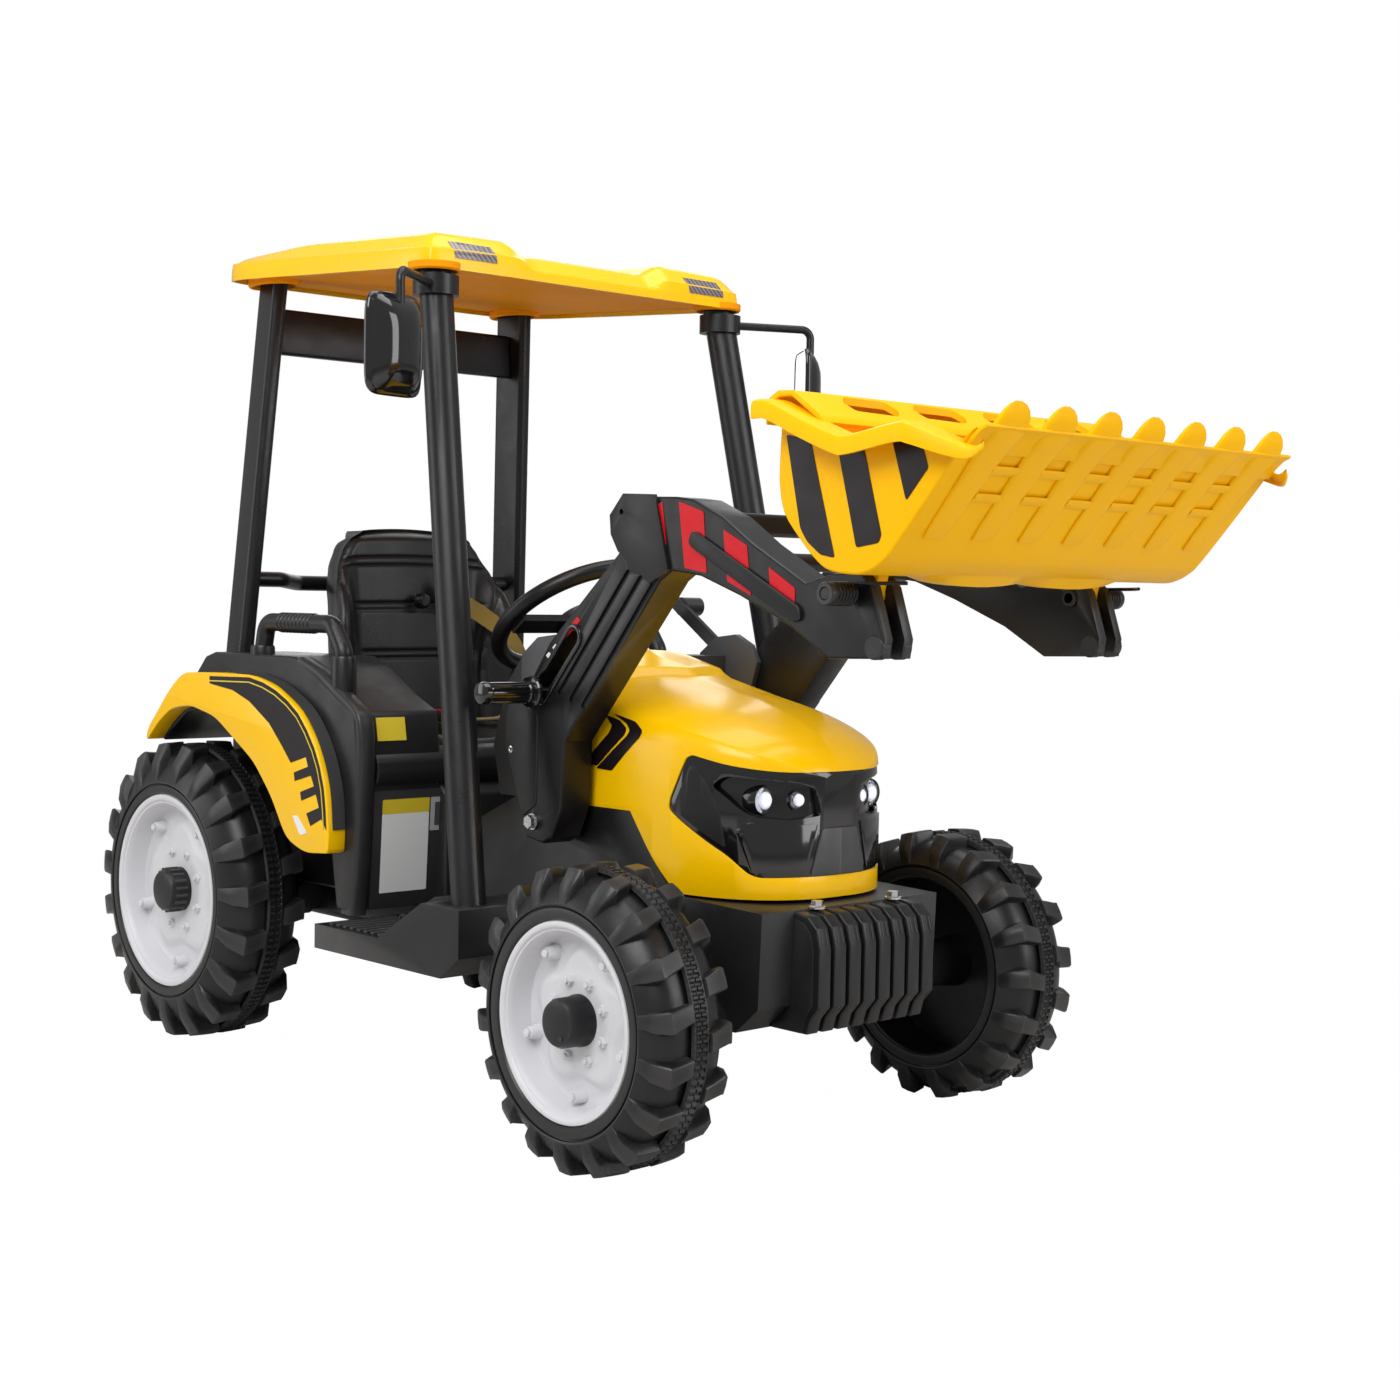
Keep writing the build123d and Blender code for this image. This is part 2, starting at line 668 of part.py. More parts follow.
def rear_post(side):
    top, foot = mirror_y(REAR_POST_TOP, side), mirror_y(REAR_POST_FOOT, side)
    axis = Vector(*top) - Vector(*foot)
    plane = Plane(origin=foot, x_dir=(0.985, -side * -0.14, 0), z_dir=axis)
    section = plane * RectangleRounded(REAR_POST_LONG, REAR_POST_THIN, 8)
    return extrude(section, amount=axis.length)


def roof_crossbar():
    """Flat bar between the rear posts, just under the roof."""
    z = 905.0
    x = post_place(REAR_POST_TOP, REAR_POST_FOOT, z)[0]
    bar = block(x - 7, x + 7, -215, 215, z - 29, z + 29)
    for side in (-1, 1):
        bar -= rear_post(side)
    inner = block(x - 8, x + 8, -188, 188, z - 30, z + 30)
    return bar & inner


def back_rail():
    """Bent round tube between the rear posts behind the seat."""
    z = 590.0
    y = post_place(REAR_POST_TOP, REAR_POST_FOOT, z)[1]
    x = post_place(REAR_POST_TOP, REAR_POST_FOOT, z)[0]
    points = [(x, -y, z), (x - 0, -160, z), (x - 26, -120, z - 4), (x - 26, 120, z - 4), (x, 160, z), (x, y, z)]
    tube = bent_tube(points, 10, 24)
    for side in (-1, 1):
        tube -= rear_post(side)
    return keep_largest(tube)


def keep_largest(shape):
    solids = shape.solids()
    if len(solids) <= 1:
        return shape
    return max(solids, key=lambda s: s.volume)


def roof_edge(x):
    share = (x - ROOF_REAR_X) / (ROOF_FRONT_X - ROOF_REAR_X)
    return ROOF_EDGE_REAR + (ROOF_EDGE_FRONT - ROOF_EDGE_REAR) * share


def roof_solid(inset):
    """Roof block: raised front corners with a lower middle between them."""
    front, rear = ROOF_FRONT_X - inset, ROOF_REAR_X + inset
    top = ROOF_RISE - inset
    plan_half = ROOF_HALF - inset
    side = side_prism([(rear, roof_edge(rear)), (front, roof_edge(front)),
                       (front - 6, roof_edge(front) + top - 8), (front - 24, roof_edge(front) + top),
                       (rear + 20, roof_edge(rear) + top), (rear + 4, roof_edge(rear) + top - 12)],
                      -plan_half, plan_half)
    chamfer_w = 40.0
    plan = plan_prism([(rear + chamfer_w, -plan_half), (front - 16, -plan_half), (front, -plan_half + 16),
                       (front, plan_half - 16), (front - 16, plan_half), (rear + chamfer_w, plan_half),
                       (rear, plan_half - chamfer_w), (rear, -plan_half + chamfer_w)], 800, 1200)
    body = side & plan
    dip = 14.0
    middle = front_prism([(-128, 1100), (-98, roof_edge(front) + top - dip),
                          (98, roof_edge(front) + top - dip), (128, 1100)], front - 150, front + 50)
    return body - middle


def roof():
    shell = roof_solid(0)
    hollow = Pos(0, 0, -0.01) * roof_solid(ROOF_WALL)
    below = side_prism([(ROOF_REAR_X + ROOF_WALL, roof_edge(ROOF_REAR_X) - 40),
                        (ROOF_FRONT_X - ROOF_WALL, roof_edge(ROOF_FRONT_X) - 40),
                        (ROOF_FRONT_X - ROOF_WALL, roof_edge(ROOF_FRONT_X) + 6),
                        (ROOF_REAR_X + ROOF_WALL, roof_edge(ROOF_REAR_X) + 6)],
                       -ROOF_HALF + ROOF_WALL + 30, ROOF_HALF - ROOF_WALL - 30)
    shell = shell - hollow - (below & hollow)
    for side in (-1, 1):
        front_top = mirror_y(FRONT_POST_TOP, side)
        rear_top = mirror_y(REAR_POST_TOP, side)
        collar = rod((front_top[0], front_top[1], front_top[2] - 4),
                     (front_top[0], front_top[1], roof_edge(front_top[0]) + ROOF_RISE - 3), POST_R + 9)
        cup = block(rear_top[0] - 36, rear_top[0] + 36, rear_top[1] - 22, rear_top[1] + 22,
                    rear_top[2] - 8, roof_edge(rear_top[0]) + ROOF_RISE - 3)
        shell += (collar & roof_reach()) + (cup & roof_reach())
        shell -= front_post(side)
        shell -= rear_post(side)
    return keep_largest(shell)


def roof_reach():
    return block(ROOF_REAR_X + 1, ROOF_FRONT_X - 1, -ROOF_HALF + 1, ROOF_HALF - 1, 900, 1100)


# ================================================================ mirrors
def mirror_turn(side):
    return MIRROR_TURN_RIGHT if side < 0 else MIRROR_TURN_LEFT


def turned_housing(side):
    """A housing turned about its stem as it stands at rest, stem at the origin."""
    return Rot(0, 0, side * mirror_turn(side)) * housing_shell()


def mirror_stem(side):
    """X and Y of the vertical stem; both housings reach equally far out."""
    x, y, _ = post_place(FRONT_POST_TOP, FRONT_POST_FOOT, MIRROR_Z + MIRROR_DROP)
    limits = turned_housing(side).bounding_box()
    reach = limits.max.Y if side > 0 else -limits.min.Y
    stem_y = MIRROR_REACH - reach
    forward = math.sqrt(MIRROR_ARM ** 2 - (stem_y - y) ** 2)
    return (x + forward, side * stem_y)


def mirror_brackets():
    """Clamp round each front post, and the bent tube that ends in the stem."""
    brackets = []
    for side in (-1, 1):
        z = MIRROR_Z + MIRROR_DROP
        x, y, _ = post_place(FRONT_POST_TOP, FRONT_POST_FOOT, z)
        sx, sy = mirror_stem(side)
        clamp = rod((x, side * y, z - 11), (x, side * y, z + 11), POST_R + 7)
        direction = Vector(sx - x, sy - side * y, 0).normalized()
        start = Vector(x, side * y, z) + direction * (POST_R + 2)
        end_z = MIRROR_Z + MIRROR_H / 2 - 14
        points = [tuple(start), (sx, sy, z), (sx, sy, end_z)]
        tube = bent_tube(points, STEM_R, 12)
        brackets.append((clamp + tube) - front_post(side))
    return brackets


def housing_frame(side):
    """Places a housing modelled round its stem, glass towards the driver."""
    sx, sy = mirror_stem(side)
    return Pos(sx, sy, MIRROR_Z) * Rot(0, 0, side * mirror_turn(side))


def housing_shell():
    """Rounded shell, open at the back, where the glass sits."""
    outline = Plane.YZ * RectangleRounded(MIRROR_W, MIRROR_H, 15)
    shell = extrude(outline, amount=MIRROR_DEEP / 2, both=True)
    shell = softened(shell, 9, shell.faces().sort_by(Axis.X)[-1].edges())
    glass_room = Plane.YZ * Pos(0, 0, -MIRROR_DEEP / 2) * RectangleRounded(MIRROR_W - 10, MIRROR_H - 10, 11)
    shell -= extrude(glass_room, amount=4)
    return shell - rod((0, 0, MIRROR_H / 2 - 20), (0, 0, MIRROR_H / 2 + 1), STEM_R + HUB_CLEAR)


def mirror_housing(side):
    return housing_frame(side) * housing_shell()


def mirror_glass(side):
    glass = Plane.YZ * Pos(0, 0, -MIRROR_DEEP / 2 + 1) * RectangleRounded(MIRROR_W - 10, MIRROR_H - 10, 11)
    return housing_frame(side) * extrude(glass, amount=3)


# ================================================================ steering wheel
def steering_wheel():
    """Round rim, three spokes and a hub; the shaft is a second solid."""
    frame = Plane(origin=WHEEL_CENTRE, x_dir=(math.cos(math.radians(WHEEL_TILT)), 0,
                                              math.sin(math.radians(WHEEL_TILT))),
                  z_dir=tuple(-c for c in steering_axis()))
    ring = Torus(WHEEL_RIM_R, WHEEL_TUBE_R)
    hub = Pos(0, 0, -12) * Cylinder(34, 22)
    spokes = []
    for angle in (90, 180, 270):
        arm = block(20, WHEEL_RIM_R - 3, -13, 13, -15, -6)
        spokes.append(Rot(0, 0, angle) * arm)
    wheel = ring + hub + spokes
    for sx, sy in BUTTON_SPOTS:
        wheel -= Pos(sx, sy, 0) * Cylinder(BUTTON_R + 0.4, 10)
    shaft = Pos(0, 0, -23 - (SHAFT_LEN - 23) / 2) * Cylinder(SHAFT_R, SHAFT_LEN - 23)
    place = frame.location
    return [place * wheel, place * shaft]


BUTTON_R = 6.5
BUTTON_SPOTS = ((0.0, 18.0), (0.0, -18.0))


def horn_buttons():
    """Two round push buttons in the steering wheel's hub."""
    frame = Plane(origin=WHEEL_CENTRE, x_dir=(math.cos(math.radians(WHEEL_TILT)), 0,
                                              math.sin(math.radians(WHEEL_TILT))),
                  z_dir=tuple(-c for c in steering_axis()))
    return [frame.location * Pos(sx, sy, -0.5) * Cylinder(BUTTON_R, 5) for sx, sy in BUTTON_SPOTS]


# ================================================================ loader
def arm_outline():
    return [
        (52, 309), (46, 327), (54, 362), (55, 480), (89, 525), (206, 624), (193, 640), (193, 655),
        (212, 680), (258, 678), (290, 677), (316, 674), (360, 656), (403, 629), (476, 591),
        (512, 600), (548, 602), (562, 588), (578, 540), (575, 522), (508, 520), (455, 550),
        (385, 578), (328, 597), (285, 602), (268, 592), (116, 418), (112, 345), (96, 312), (80, 304),
    ]


def slot_path():
    """Centre line of the tilt handle's slot, from its low end upwards."""
    return [(76.0, 470.0), (131.0, 531.0)]


def arm(side):
    """Cranked loader arm, forked at the tip, with the slot of the tilt handle."""
    body = side_prism(arm_outline(), min(side * ARM_IN, side * ARM_OUT), max(side * ARM_IN, side * ARM_OUT))
    body = softened(body, 3, body.faces().sort_by(Axis.Y)[0 if side < 0 else -1].edges())
    y_lo, y_hi = min(side * ARM_IN, side * ARM_OUT), max(side * ARM_IN, side * ARM_OUT)
    gap_lo = y_lo + ARM_WALL
    gap_hi = y_hi - ARM_WALL
    body -= block(510, 600, gap_lo, gap_hi, 500, 620)
    body -= rod_y(PIVOT[0], PIVOT[1], y_lo - 1, y_hi + 1, BOLT_R + 0.3)
    body -= rod_y(BUCKET_PIN[0], BUCKET_PIN[1], y_lo - 1, y_hi + 1, PIN_R)
    # three long grooves down the outside of the lower arm
    groove_face = side * (ARM_OUT - 3)
    for shift in (0.0, 20.0, 40.0):
        run = [(108 + shift, 470 - shift * 0.3), (218 + shift, 600 - shift * 0.3)]
        body -= slot_cut(run, 7.0, min(groove_face, side * 200), max(groove_face, side * 200))
    if side < 0:
        body -= slot_cut(slot_path(), SLOT_W, y_lo - 1, y_hi + 1)
    return keep_largest(body)


def slot_cut(path, width, y0, y1):
    """A straight slot with round ends, cut along Y."""
    (xa, za), (xb, zb) = path
    dx, dz = xb - xa, zb - za
    length = math.hypot(dx, dz)
    nx, nz = -dz / length * width / 2, dx / length * width / 2
    bar = side_prism([(xa + nx, za + nz), (xb + nx, zb + nz), (xb - nx, zb - nz), (xa - nx, za - nz)], y0, y1)
    return [bar, rod_y(xa, za, y0, y1, width / 2), rod_y(xb, zb, y0, y1, width / 2)]


def elbow_covers():
    """Bolted plate over the outside of each elbow."""
    covers = []
    outline = [(194, 640), (192, 660), (213, 682), (262, 680), (274, 640), (284, 603), (256, 589), (206, 622)]
    for side in (-1, 1):
        y0, y1 = side * ARM_OUT, side * (ARM_OUT + 4)
        plate = side_prism(outline, min(y0, y1), max(y0, y1))
        plate -= rod_y(211, 663, min(y0, y1) - 1, max(y0, y1) + 1, 3)
        covers.append(plate)
    return covers


def arm_cross_members():
    """Flat beam and round tube between the two booms."""
    beam = block(296, 334, -ARM_IN, ARM_IN, 640, 662)
    beam = softened(beam, 4, along_y(beam))
    tube = rod_y(392, 612, -ARM_IN, ARM_IN, 9)
    return [beam, tube]


def bucket_pins():
    """Hinge pins of the bucket; each carries a spring outside its arm."""
    pins = []
    for side in (-1, 1):
        y0, y1 = side * (ARM_IN - 3), side * (ARM_OUT + 40)
        pin = rod_y(BUCKET_PIN[0], BUCKET_PIN[1], min(y0, y1), max(y0, y1), PIN_R)
        head0, head1 = side * (ARM_IN - 3), side * (ARM_IN - 0.0)
        pin += rod_y(BUCKET_PIN[0], BUCKET_PIN[1], min(head0, head1), max(head0, head1), PIN_R + 3)
        pins.append(pin)
    return pins


def torsion_springs():
    """Coil round each hinge pin, as a sleeve of the coil's outer size, with one leg."""
    coils = []
    for side in (-1, 1):
        y0, y1 = side * (ARM_OUT + 3), side * (ARM_OUT + 38)
        lo, hi = min(y0, y1), max(y0, y1)
        sleeve = rod_y(BUCKET_PIN[0], BUCKET_PIN[1], lo, hi, 11.5)
        sleeve -= rod_y(BUCKET_PIN[0], BUCKET_PIN[1], lo - 1, hi + 1, PIN_R + HUB_CLEAR)
        leg = rod((BUCKET_PIN[0], side * (ARM_OUT + 5), BUCKET_PIN[1] + 9.5),
                  (BUCKET_PIN[0] + 62, side * (ARM_OUT + 5), BUCKET_PIN[1] + 9.5), 1.8)
        coils.append(sleeve + leg)
    return coils


def tilt_handle():
    """Ribbed grip, hand stop and the stub that runs in the arm's slot."""
    x, z = slot_path()[0]
    stub = rod_y(x, z, -ARM_OUT - 12, -ARM_IN - 2, HANDLE_STUB_R)
    sleeve = rod_y(x, z, -ARM_OUT + 1, -ARM_IN - 2, SLOT_W / 2 - HUB_CLEAR)
    stop = rod_y(x, z, -ARM_OUT - 17, -ARM_OUT - 11, 18)
    grip = rod_y(x, z, -ARM_OUT - 11 - HANDLE_LEN, -ARM_OUT - 14, HANDLE_GRIP_R)
    return stub + sleeve + stop + grip


def bucket_outline():
    """Side outline of the bucket's tub."""
    return [(494, 742), (491, 676), (498, 655), (520, 630), (542, 609), (575, 598), (607, 602),
              (632, 615), (716, 716), (716, 742)]


def bucket():
    """Scoop with a flanged rim, a toothed lip and two hinge lugs."""
    outer = side_prism(bucket_outline(), -BUCKET_HALF, BUCKET_HALF)
    wall = BUCKET_WALL
    inner_points = [(494 + wall, 800), (491 + wall, 677), (498 + wall, 658), (523 + wall, 634),
                    (544, 609 + wall + 1), (576, 598 + wall), (605, 602 + wall), (629, 615 + wall + 1),
                    (704, 708), (704, 800)]
    inner = side_prism(inner_points, -BUCKET_HALF + wall, BUCKET_HALF - wall)
    tub = outer - inner
    # rim flange on both sides and the back
    side_flange = [(478, 752), (494, 722), (550, 708), (634, 720), (694, 700), (734, 708), (738, 722),
                   (730, 733), (640, 748), (550, 746), (492, 766)]
    flanges = []
    for s in (-1, 1):
        y0, y1 = s * (BUCKET_HALF - wall), s * (BUCKET_HALF + LIP_OVERHANG)
        full = side_prism(side_flange, min(y0, y1), max(y0, y1))
        under0, under1 = s * BUCKET_HALF, s * (BUCKET_HALF + LIP_OVERHANG - wall)
        room = side_prism([(x, z - wall - (4 if z > 740 else 0)) for x, z in side_flange],
                          min(under0, under1), max(under0, under1))
        wedge = plan_prism([(560, s * (BUCKET_HALF + LIP_OVERHANG)), (760, s * (BUCKET_HALF + 2)),
                            (760, s * (BUCKET_HALF + 60)), (560, s * (BUCKET_HALF + 60))], 600, 800)
        flanges.append(full - room - wedge)
    back = side_prism([(478, 752), (492, 766), (512, 757), (512, 748), (494, 735)], -BUCKET_HALF, BUCKET_HALF)
    back -= side_prism([(484, 748), (492, 757), (512, 750), (520, 740), (494, 730)],
                       -BUCKET_HALF + 6, BUCKET_HALF - 6)
    lip = side_prism([(690, 700), (702, 690), (738, 708), (738, 716), (716, 722)], -BUCKET_HALF, BUCKET_HALF)
    teeth = []
    for index in range(TOOTH_COUNT):
        y = (index - (TOOTH_COUNT - 1) / 2) * TOOTH_PITCH
        rib = [(632, 615), (638, 609), (728, 700), (739, 716), (LIP_FRONT, 731), (729, 731), (716, 716)]
        teeth.append(side_prism(rib, y - TOOTH_W / 2, y + TOOTH_W / 2))
    shape = tub + flanges + [back, lip] + teeth
    lugs = []
    for s in (-1, 1):
        mid = s * (ARM_IN + ARM_OUT) / 2
        half = (ARM_OUT - ARM_IN) / 2 - ARM_WALL - 0.5
        ear = side_prism([(519, 612), (532, 571), (540, 568), (552, 573), (560, 612)], mid - half, mid + half)
        ear += rod_y(BUCKET_PIN[0], BUCKET_PIN[1], mid - half, mid + half, 14)
        lugs.append(ear)
    shape = shape + lugs
    for s in (-1, 1):
        mid = s * (ARM_IN + ARM_OUT) / 2
        shape -= rod_y(BUCKET_PIN[0], BUCKET_PIN[1], mid - 20, mid + 20, PIN_R + 0.3)
    return keep_largest(shape)


LEVER_PIVOT = (12.0, 514.0)
LEVER_KNOB = (-68.0, 568.0)


def left_lever():
    """Flat hand lever beside the dash on the left, with a round knob."""
    face = ARM_IN - 1.0
    bar_y = spread(1, face + 0.3, face + 6)
    (px, pz), (kx, kz) = LEVER_PIVOT, LEVER_KNOB
    bar = slot_cut([(px, pz), (kx, kz)], 16.0, *bar_y)
    knob = rod_y(kx + 6, kz - 4, face + 5, face + 34, 11.5)
    return bar[0] + bar[1:] + knob - rod_y(px, pz, face, face + 7, 4.4)


BUTTON_PLACE = (4.0, 322.0)
START_R = 8.0


def button_bore():
    """Bore in the right side of the nose that the power button runs in."""
    return rod_y(BUTTON_PLACE[0], BUTTON_PLACE[1], -BONNET_HALF - 1, -BONNET_HALF + 9, START_R + 0.3)


def start_button():
    """Round power button low on the right side, ahead of the driver's knee."""
    return rod_y(BUTTON_PLACE[0], BUTTON_PLACE[1], -BONNET_HALF - 5, -BONNET_HALF + 5, START_R)


# ================================================================ write the parts
def wheel_nodes():
    nodes = {}
    for side, name in ((-1, "right"), (1, "left")):
        front = tyre(FRONT_AXLE_X, FRONT_TYRE_R, FRONT_TYRE_W, FRONT_RIM_R, FRONT_LUGS, FRONT_WHEEL_Y)
        rear = tyre(REAR_AXLE_X, REAR_TYRE_R, REAR_TYRE_W, REAR_RIM_R, REAR_LUGS, REAR_WHEEL_Y)
        front_rim = rim(FRONT_AXLE_X, FRONT_TYRE_R, FRONT_RIM_R, FRONT_TYRE_W, FRONT_WHEEL_Y,
                        FRONT_TYRE_W / 2 + 6, 26, -FRONT_TYRE_W / 2 + 4, FRONT_TYRE_R)
        rear_rim = rim(REAR_AXLE_X, REAR_TYRE_R, REAR_RIM_R, REAR_TYRE_W, REAR_WHEEL_Y,
                       REAR_TYRE_W / 2 + 2, 30, -REAR_TYRE_W / 2 + 6, REAR_TYRE_R)
        if side < 0:
            front, rear = mirrored(front), mirrored(rear)
            front_rim = [mirrored(s) for s in front_rim]
            rear_rim = [mirrored(s) for s in rear_rim]
        nodes[f"front_tyre_{name}"] = front
        nodes[f"rear_tyre_{name}"] = rear
        nodes[f"front_rim_{name}"] = front_rim
        nodes[f"rear_rim_{name}"] = rear_rim
    return nodes


def all_nodes():
    nodes = {
        "chassis": chassis(),
        "front_axle_beam": front_axle(),
        "rear_axle": rear_axle(),
        "drive_motors": drive_motors(),
        "battery": battery(),
        "seat_box": seat_box(),
        "seat_back": seat_back(),
        "seat_pan": seat_pan(),
        "lap_belt": lap_belt(),
        "grab_handles": grab_handles(),
        "bonnet": bonnet(),
        "front_mask": front_mask(),
        "headlights": headlights(),
        "dashboard": dashboard(),
        "side_covers": side_covers(),
        "pivot_tube": pivot_tube(),
        "frame_bolts": pivot_bolts(),
        "front_weights": front_weights(),
        "roof": roof(),
        "roof_crossbar": roof_crossbar(),
        "back_rail": back_rail(),
        "mirror_brackets": mirror_brackets(),
        "tie_rod": tie_rod(),
        "steering_wheel": steering_wheel(),
        "horn_buttons": horn_buttons(),
        "elbow_covers": elbow_covers(),
        "arm_cross_members": arm_cross_members(),
        "bucket_pins": bucket_pins(),
        "torsion_springs": torsion_springs(),
        "tilt_handle": tilt_handle(),
        "bucket": bucket(),
        "left_lever": left_lever(),
        "start_button": start_button(),
        "pedal": pedal(),
    }
    for side, name in ((-1, "right"), (1, "left")):
        nodes[f"console_{name}"] = console(side)
        nodes[f"fender_{name}"] = fender(side)
        nodes[f"step_{name}"] = step(side)
        nodes[f"front_post_{name}"] = front_post(side)
        nodes[f"rear_post_{name}"] = rear_post(side)
        nodes[f"mirror_housing_{name}"] = mirror_housing(side)
        nodes[f"mirror_glass_{name}"] = mirror_glass(side)
        nodes[f"knuckle_{name}"] = knuckle(side)
        nodes[f"arm_{name}"] = arm(side)
    nodes.update(wheel_nodes())
    return nodes


def main():
    os.makedirs("parts", exist_ok=True)
    for name, shape in all_nodes().items():
        solids = shape if isinstance(shape, list) else shape.solids()
        loose = [s for item in solids for s in item.solids()]
        export_step(Compound(children=loose), f"parts/{name}.step")
    print("written")


main()
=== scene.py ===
"""Looks of a ride-on toy tractor with a front loader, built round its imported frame."""
import json
import math

import bmesh
import bpy
from mathutils import Matrix, Vector
from mathutils.bvhtree import BVHTree


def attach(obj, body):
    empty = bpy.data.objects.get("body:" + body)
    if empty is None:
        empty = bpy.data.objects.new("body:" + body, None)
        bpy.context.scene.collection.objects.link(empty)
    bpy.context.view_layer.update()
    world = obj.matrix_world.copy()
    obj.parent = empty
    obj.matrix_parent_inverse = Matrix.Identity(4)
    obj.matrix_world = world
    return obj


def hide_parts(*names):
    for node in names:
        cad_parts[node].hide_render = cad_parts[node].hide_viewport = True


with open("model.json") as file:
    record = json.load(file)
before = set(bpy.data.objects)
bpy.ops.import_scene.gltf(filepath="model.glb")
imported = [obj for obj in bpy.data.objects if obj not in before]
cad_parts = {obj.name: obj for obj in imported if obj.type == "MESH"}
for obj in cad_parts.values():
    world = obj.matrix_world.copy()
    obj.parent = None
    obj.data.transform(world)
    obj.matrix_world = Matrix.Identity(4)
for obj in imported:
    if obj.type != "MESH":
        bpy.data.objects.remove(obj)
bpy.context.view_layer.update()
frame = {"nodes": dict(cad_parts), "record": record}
NODES = frame["nodes"]
SCENE = bpy.context.scene
SIDES = (("right", -1), ("left", 1))
MM = 0.001


# ---------------------------------------------------------------- materials
def socket(shader, name, value):
    shader.inputs[name].default_value = value


def blended(tree, factor, low, high):
    """Mixes two colours by a factor socket and returns the colour socket."""
    mix = tree.nodes.new("ShaderNodeMix")
    mix.data_type = "RGBA"
    tree.links.new(factor, mix.inputs["Factor"])
    for name, colour in (("A", low), ("B", high)):
        target = [s for s in mix.inputs if s.name == name and s.type == "RGBA"][0]
        if isinstance(colour, bpy.types.NodeSocket):
            tree.links.new(colour, target)
        else:
            target.default_value = (*colour, 1)
    return [s for s in mix.outputs if s.type == "RGBA"][0]


def ranged(tree, value, from_low, from_high, to_low, to_high):
    node = tree.nodes.new("ShaderNodeMapRange")
    tree.links.new(value, node.inputs["Value"])
    for name, number in (("From Min", from_low), ("From Max", from_high), ("To Min", to_low),
                         ("To Max", to_high)):
        node.inputs[name].default_value = number
    return node.outputs["Result"]


def noise(tree, scale, detail=3.0, stretch=None):
    place = tree.nodes.new("ShaderNodeTexCoord").outputs["Object"]
    if stretch:
        mapping = tree.nodes.new("ShaderNodeMapping")
        mapping.inputs["Scale"].default_value = stretch
        tree.links.new(place, mapping.inputs["Vector"])
        place = mapping.outputs["Vector"]
    node = tree.nodes.new("ShaderNodeTexNoise")
    tree.links.new(place, node.inputs["Vector"])
    node.inputs["Scale"].default_value = scale
    node.inputs["Detail"].default_value = detail
    return node.outputs["Fac"]


def bump(tree, height, strength, distance, onto=None):
    node = tree.nodes.new("ShaderNodeBump")
    node.inputs["Strength"].default_value = strength
    node.inputs["Distance"].default_value = distance
    tree.links.new(height, node.inputs["Height"])
    if onto:
        tree.links.new(onto, node.inputs["Normal"])
    return node.outputs["Normal"]


def scaled(colour, share):
    return tuple(min(1.0, c * share) for c in colour)


def finish_of(name, colour, rough, spread=0.06, mottle=0.08, grain=0.15, grain_scale=700.0, coat=0.0,
              metallic=0.0, edge=0.0, sheen=0.0, wave=0.0, specular=0.5):
    """Moulded or painted surface: mottled colour, uneven gloss, fine grain, and paler convex edges, which
    are a painted highlight.
    """
    material = bpy.data.materials.new(name)
    material.use_nodes = True
    tree = material.node_tree
    shader = tree.nodes["Principled BSDF"]
    cloud = ranged(tree, noise(tree, 9.0, 4.0), 0.3, 0.7, 0.0, 1.0)
    base = blended(tree, cloud, scaled(colour, 1 - mottle), scaled(colour, 1 + mottle))
    # edge sets the strength of a painted highlight: convex edges, found by pointiness, are mixed towards a
    # paler colour
    if edge:
        geometry = tree.nodes.new("ShaderNodeNewGeometry")
        edge_highlight_share = ranged(tree, geometry.outputs["Pointiness"], 0.52, 0.62, 0.0, edge)
        edge_highlight_colour = tuple(c + (0.35 - c) * 0.25 for c in colour)
        base = blended(tree, edge_highlight_share, base, edge_highlight_colour)
    tree.links.new(base, shader.inputs["Base Color"])
    gloss = ranged(tree, noise(tree, 38.0, 5.0), 0.3, 0.7, max(0.02, rough - spread), rough + spread)
    tree.links.new(gloss, shader.inputs["Roughness"])
    normal = bump(tree, noise(tree, grain_scale, 2.0), grain, 0.0004)
    if wave:
        normal = bump(tree, noise(tree, 16.0, 1.0), wave, 0.004, normal)
    tree.links.new(normal, shader.inputs["Normal"])
    socket(shader, "Metallic", metallic)
    socket(shader, "Coat Weight", coat)
    socket(shader, "Coat Roughness", 0.08)
    socket(shader, "Sheen Weight", sheen)
    socket(shader, "Specular IOR Level", specular)
    return material


YELLOW = (0.99, 0.56, 0.0)
# orange for the roof's underside: painted light, standing for light that shines through the thin yellow
# roof and bounces under it
PAINTED_UNDERSIDE_ORANGE = (0.95, 0.33, 0.002)
BLACK = (0.0065, 0.0065, 0.0075)

# edge= in these finishes adds the painted highlight on convex edges from finish_of
SATIN_BLACK = finish_of("satin_black", BLACK, 0.36, edge=0.5, wave=0.05, specular=0.38)
MATT_BLACK = finish_of("matt_black", (0.009, 0.009, 0.010), 0.50, grain=0.35, edge=0.4, specular=0.35)
GLOSS_BLACK = finish_of("gloss_black", (0.006, 0.006, 0.007), 0.10, spread=0.03, grain=0.02, coat=0.6)
TUBE_BLACK = finish_of("tube_black", (0.009, 0.009, 0.011), 0.32, grain=0.3, grain_scale=1400.0,
                       mottle=0.04, specular=0.42)
TYRE_BLACK = finish_of("tyre_black", (0.0085, 0.0085, 0.0095), 0.34, grain=0.3, wave=0.08, edge=0.5,
                       specular=0.42)
SEAT_BLACK = finish_of("seat_black", (0.008, 0.008, 0.009), 0.36, grain=0.5, grain_scale=420.0, edge=0.5,
                       specular=0.42)
BRIGHT_YELLOW = finish_of("bright_yellow", YELLOW, 0.24, spread=0.04, mottle=0.02, grain=0.04, coat=0.12,
                          wave=0.04,
                          specular=0.28)
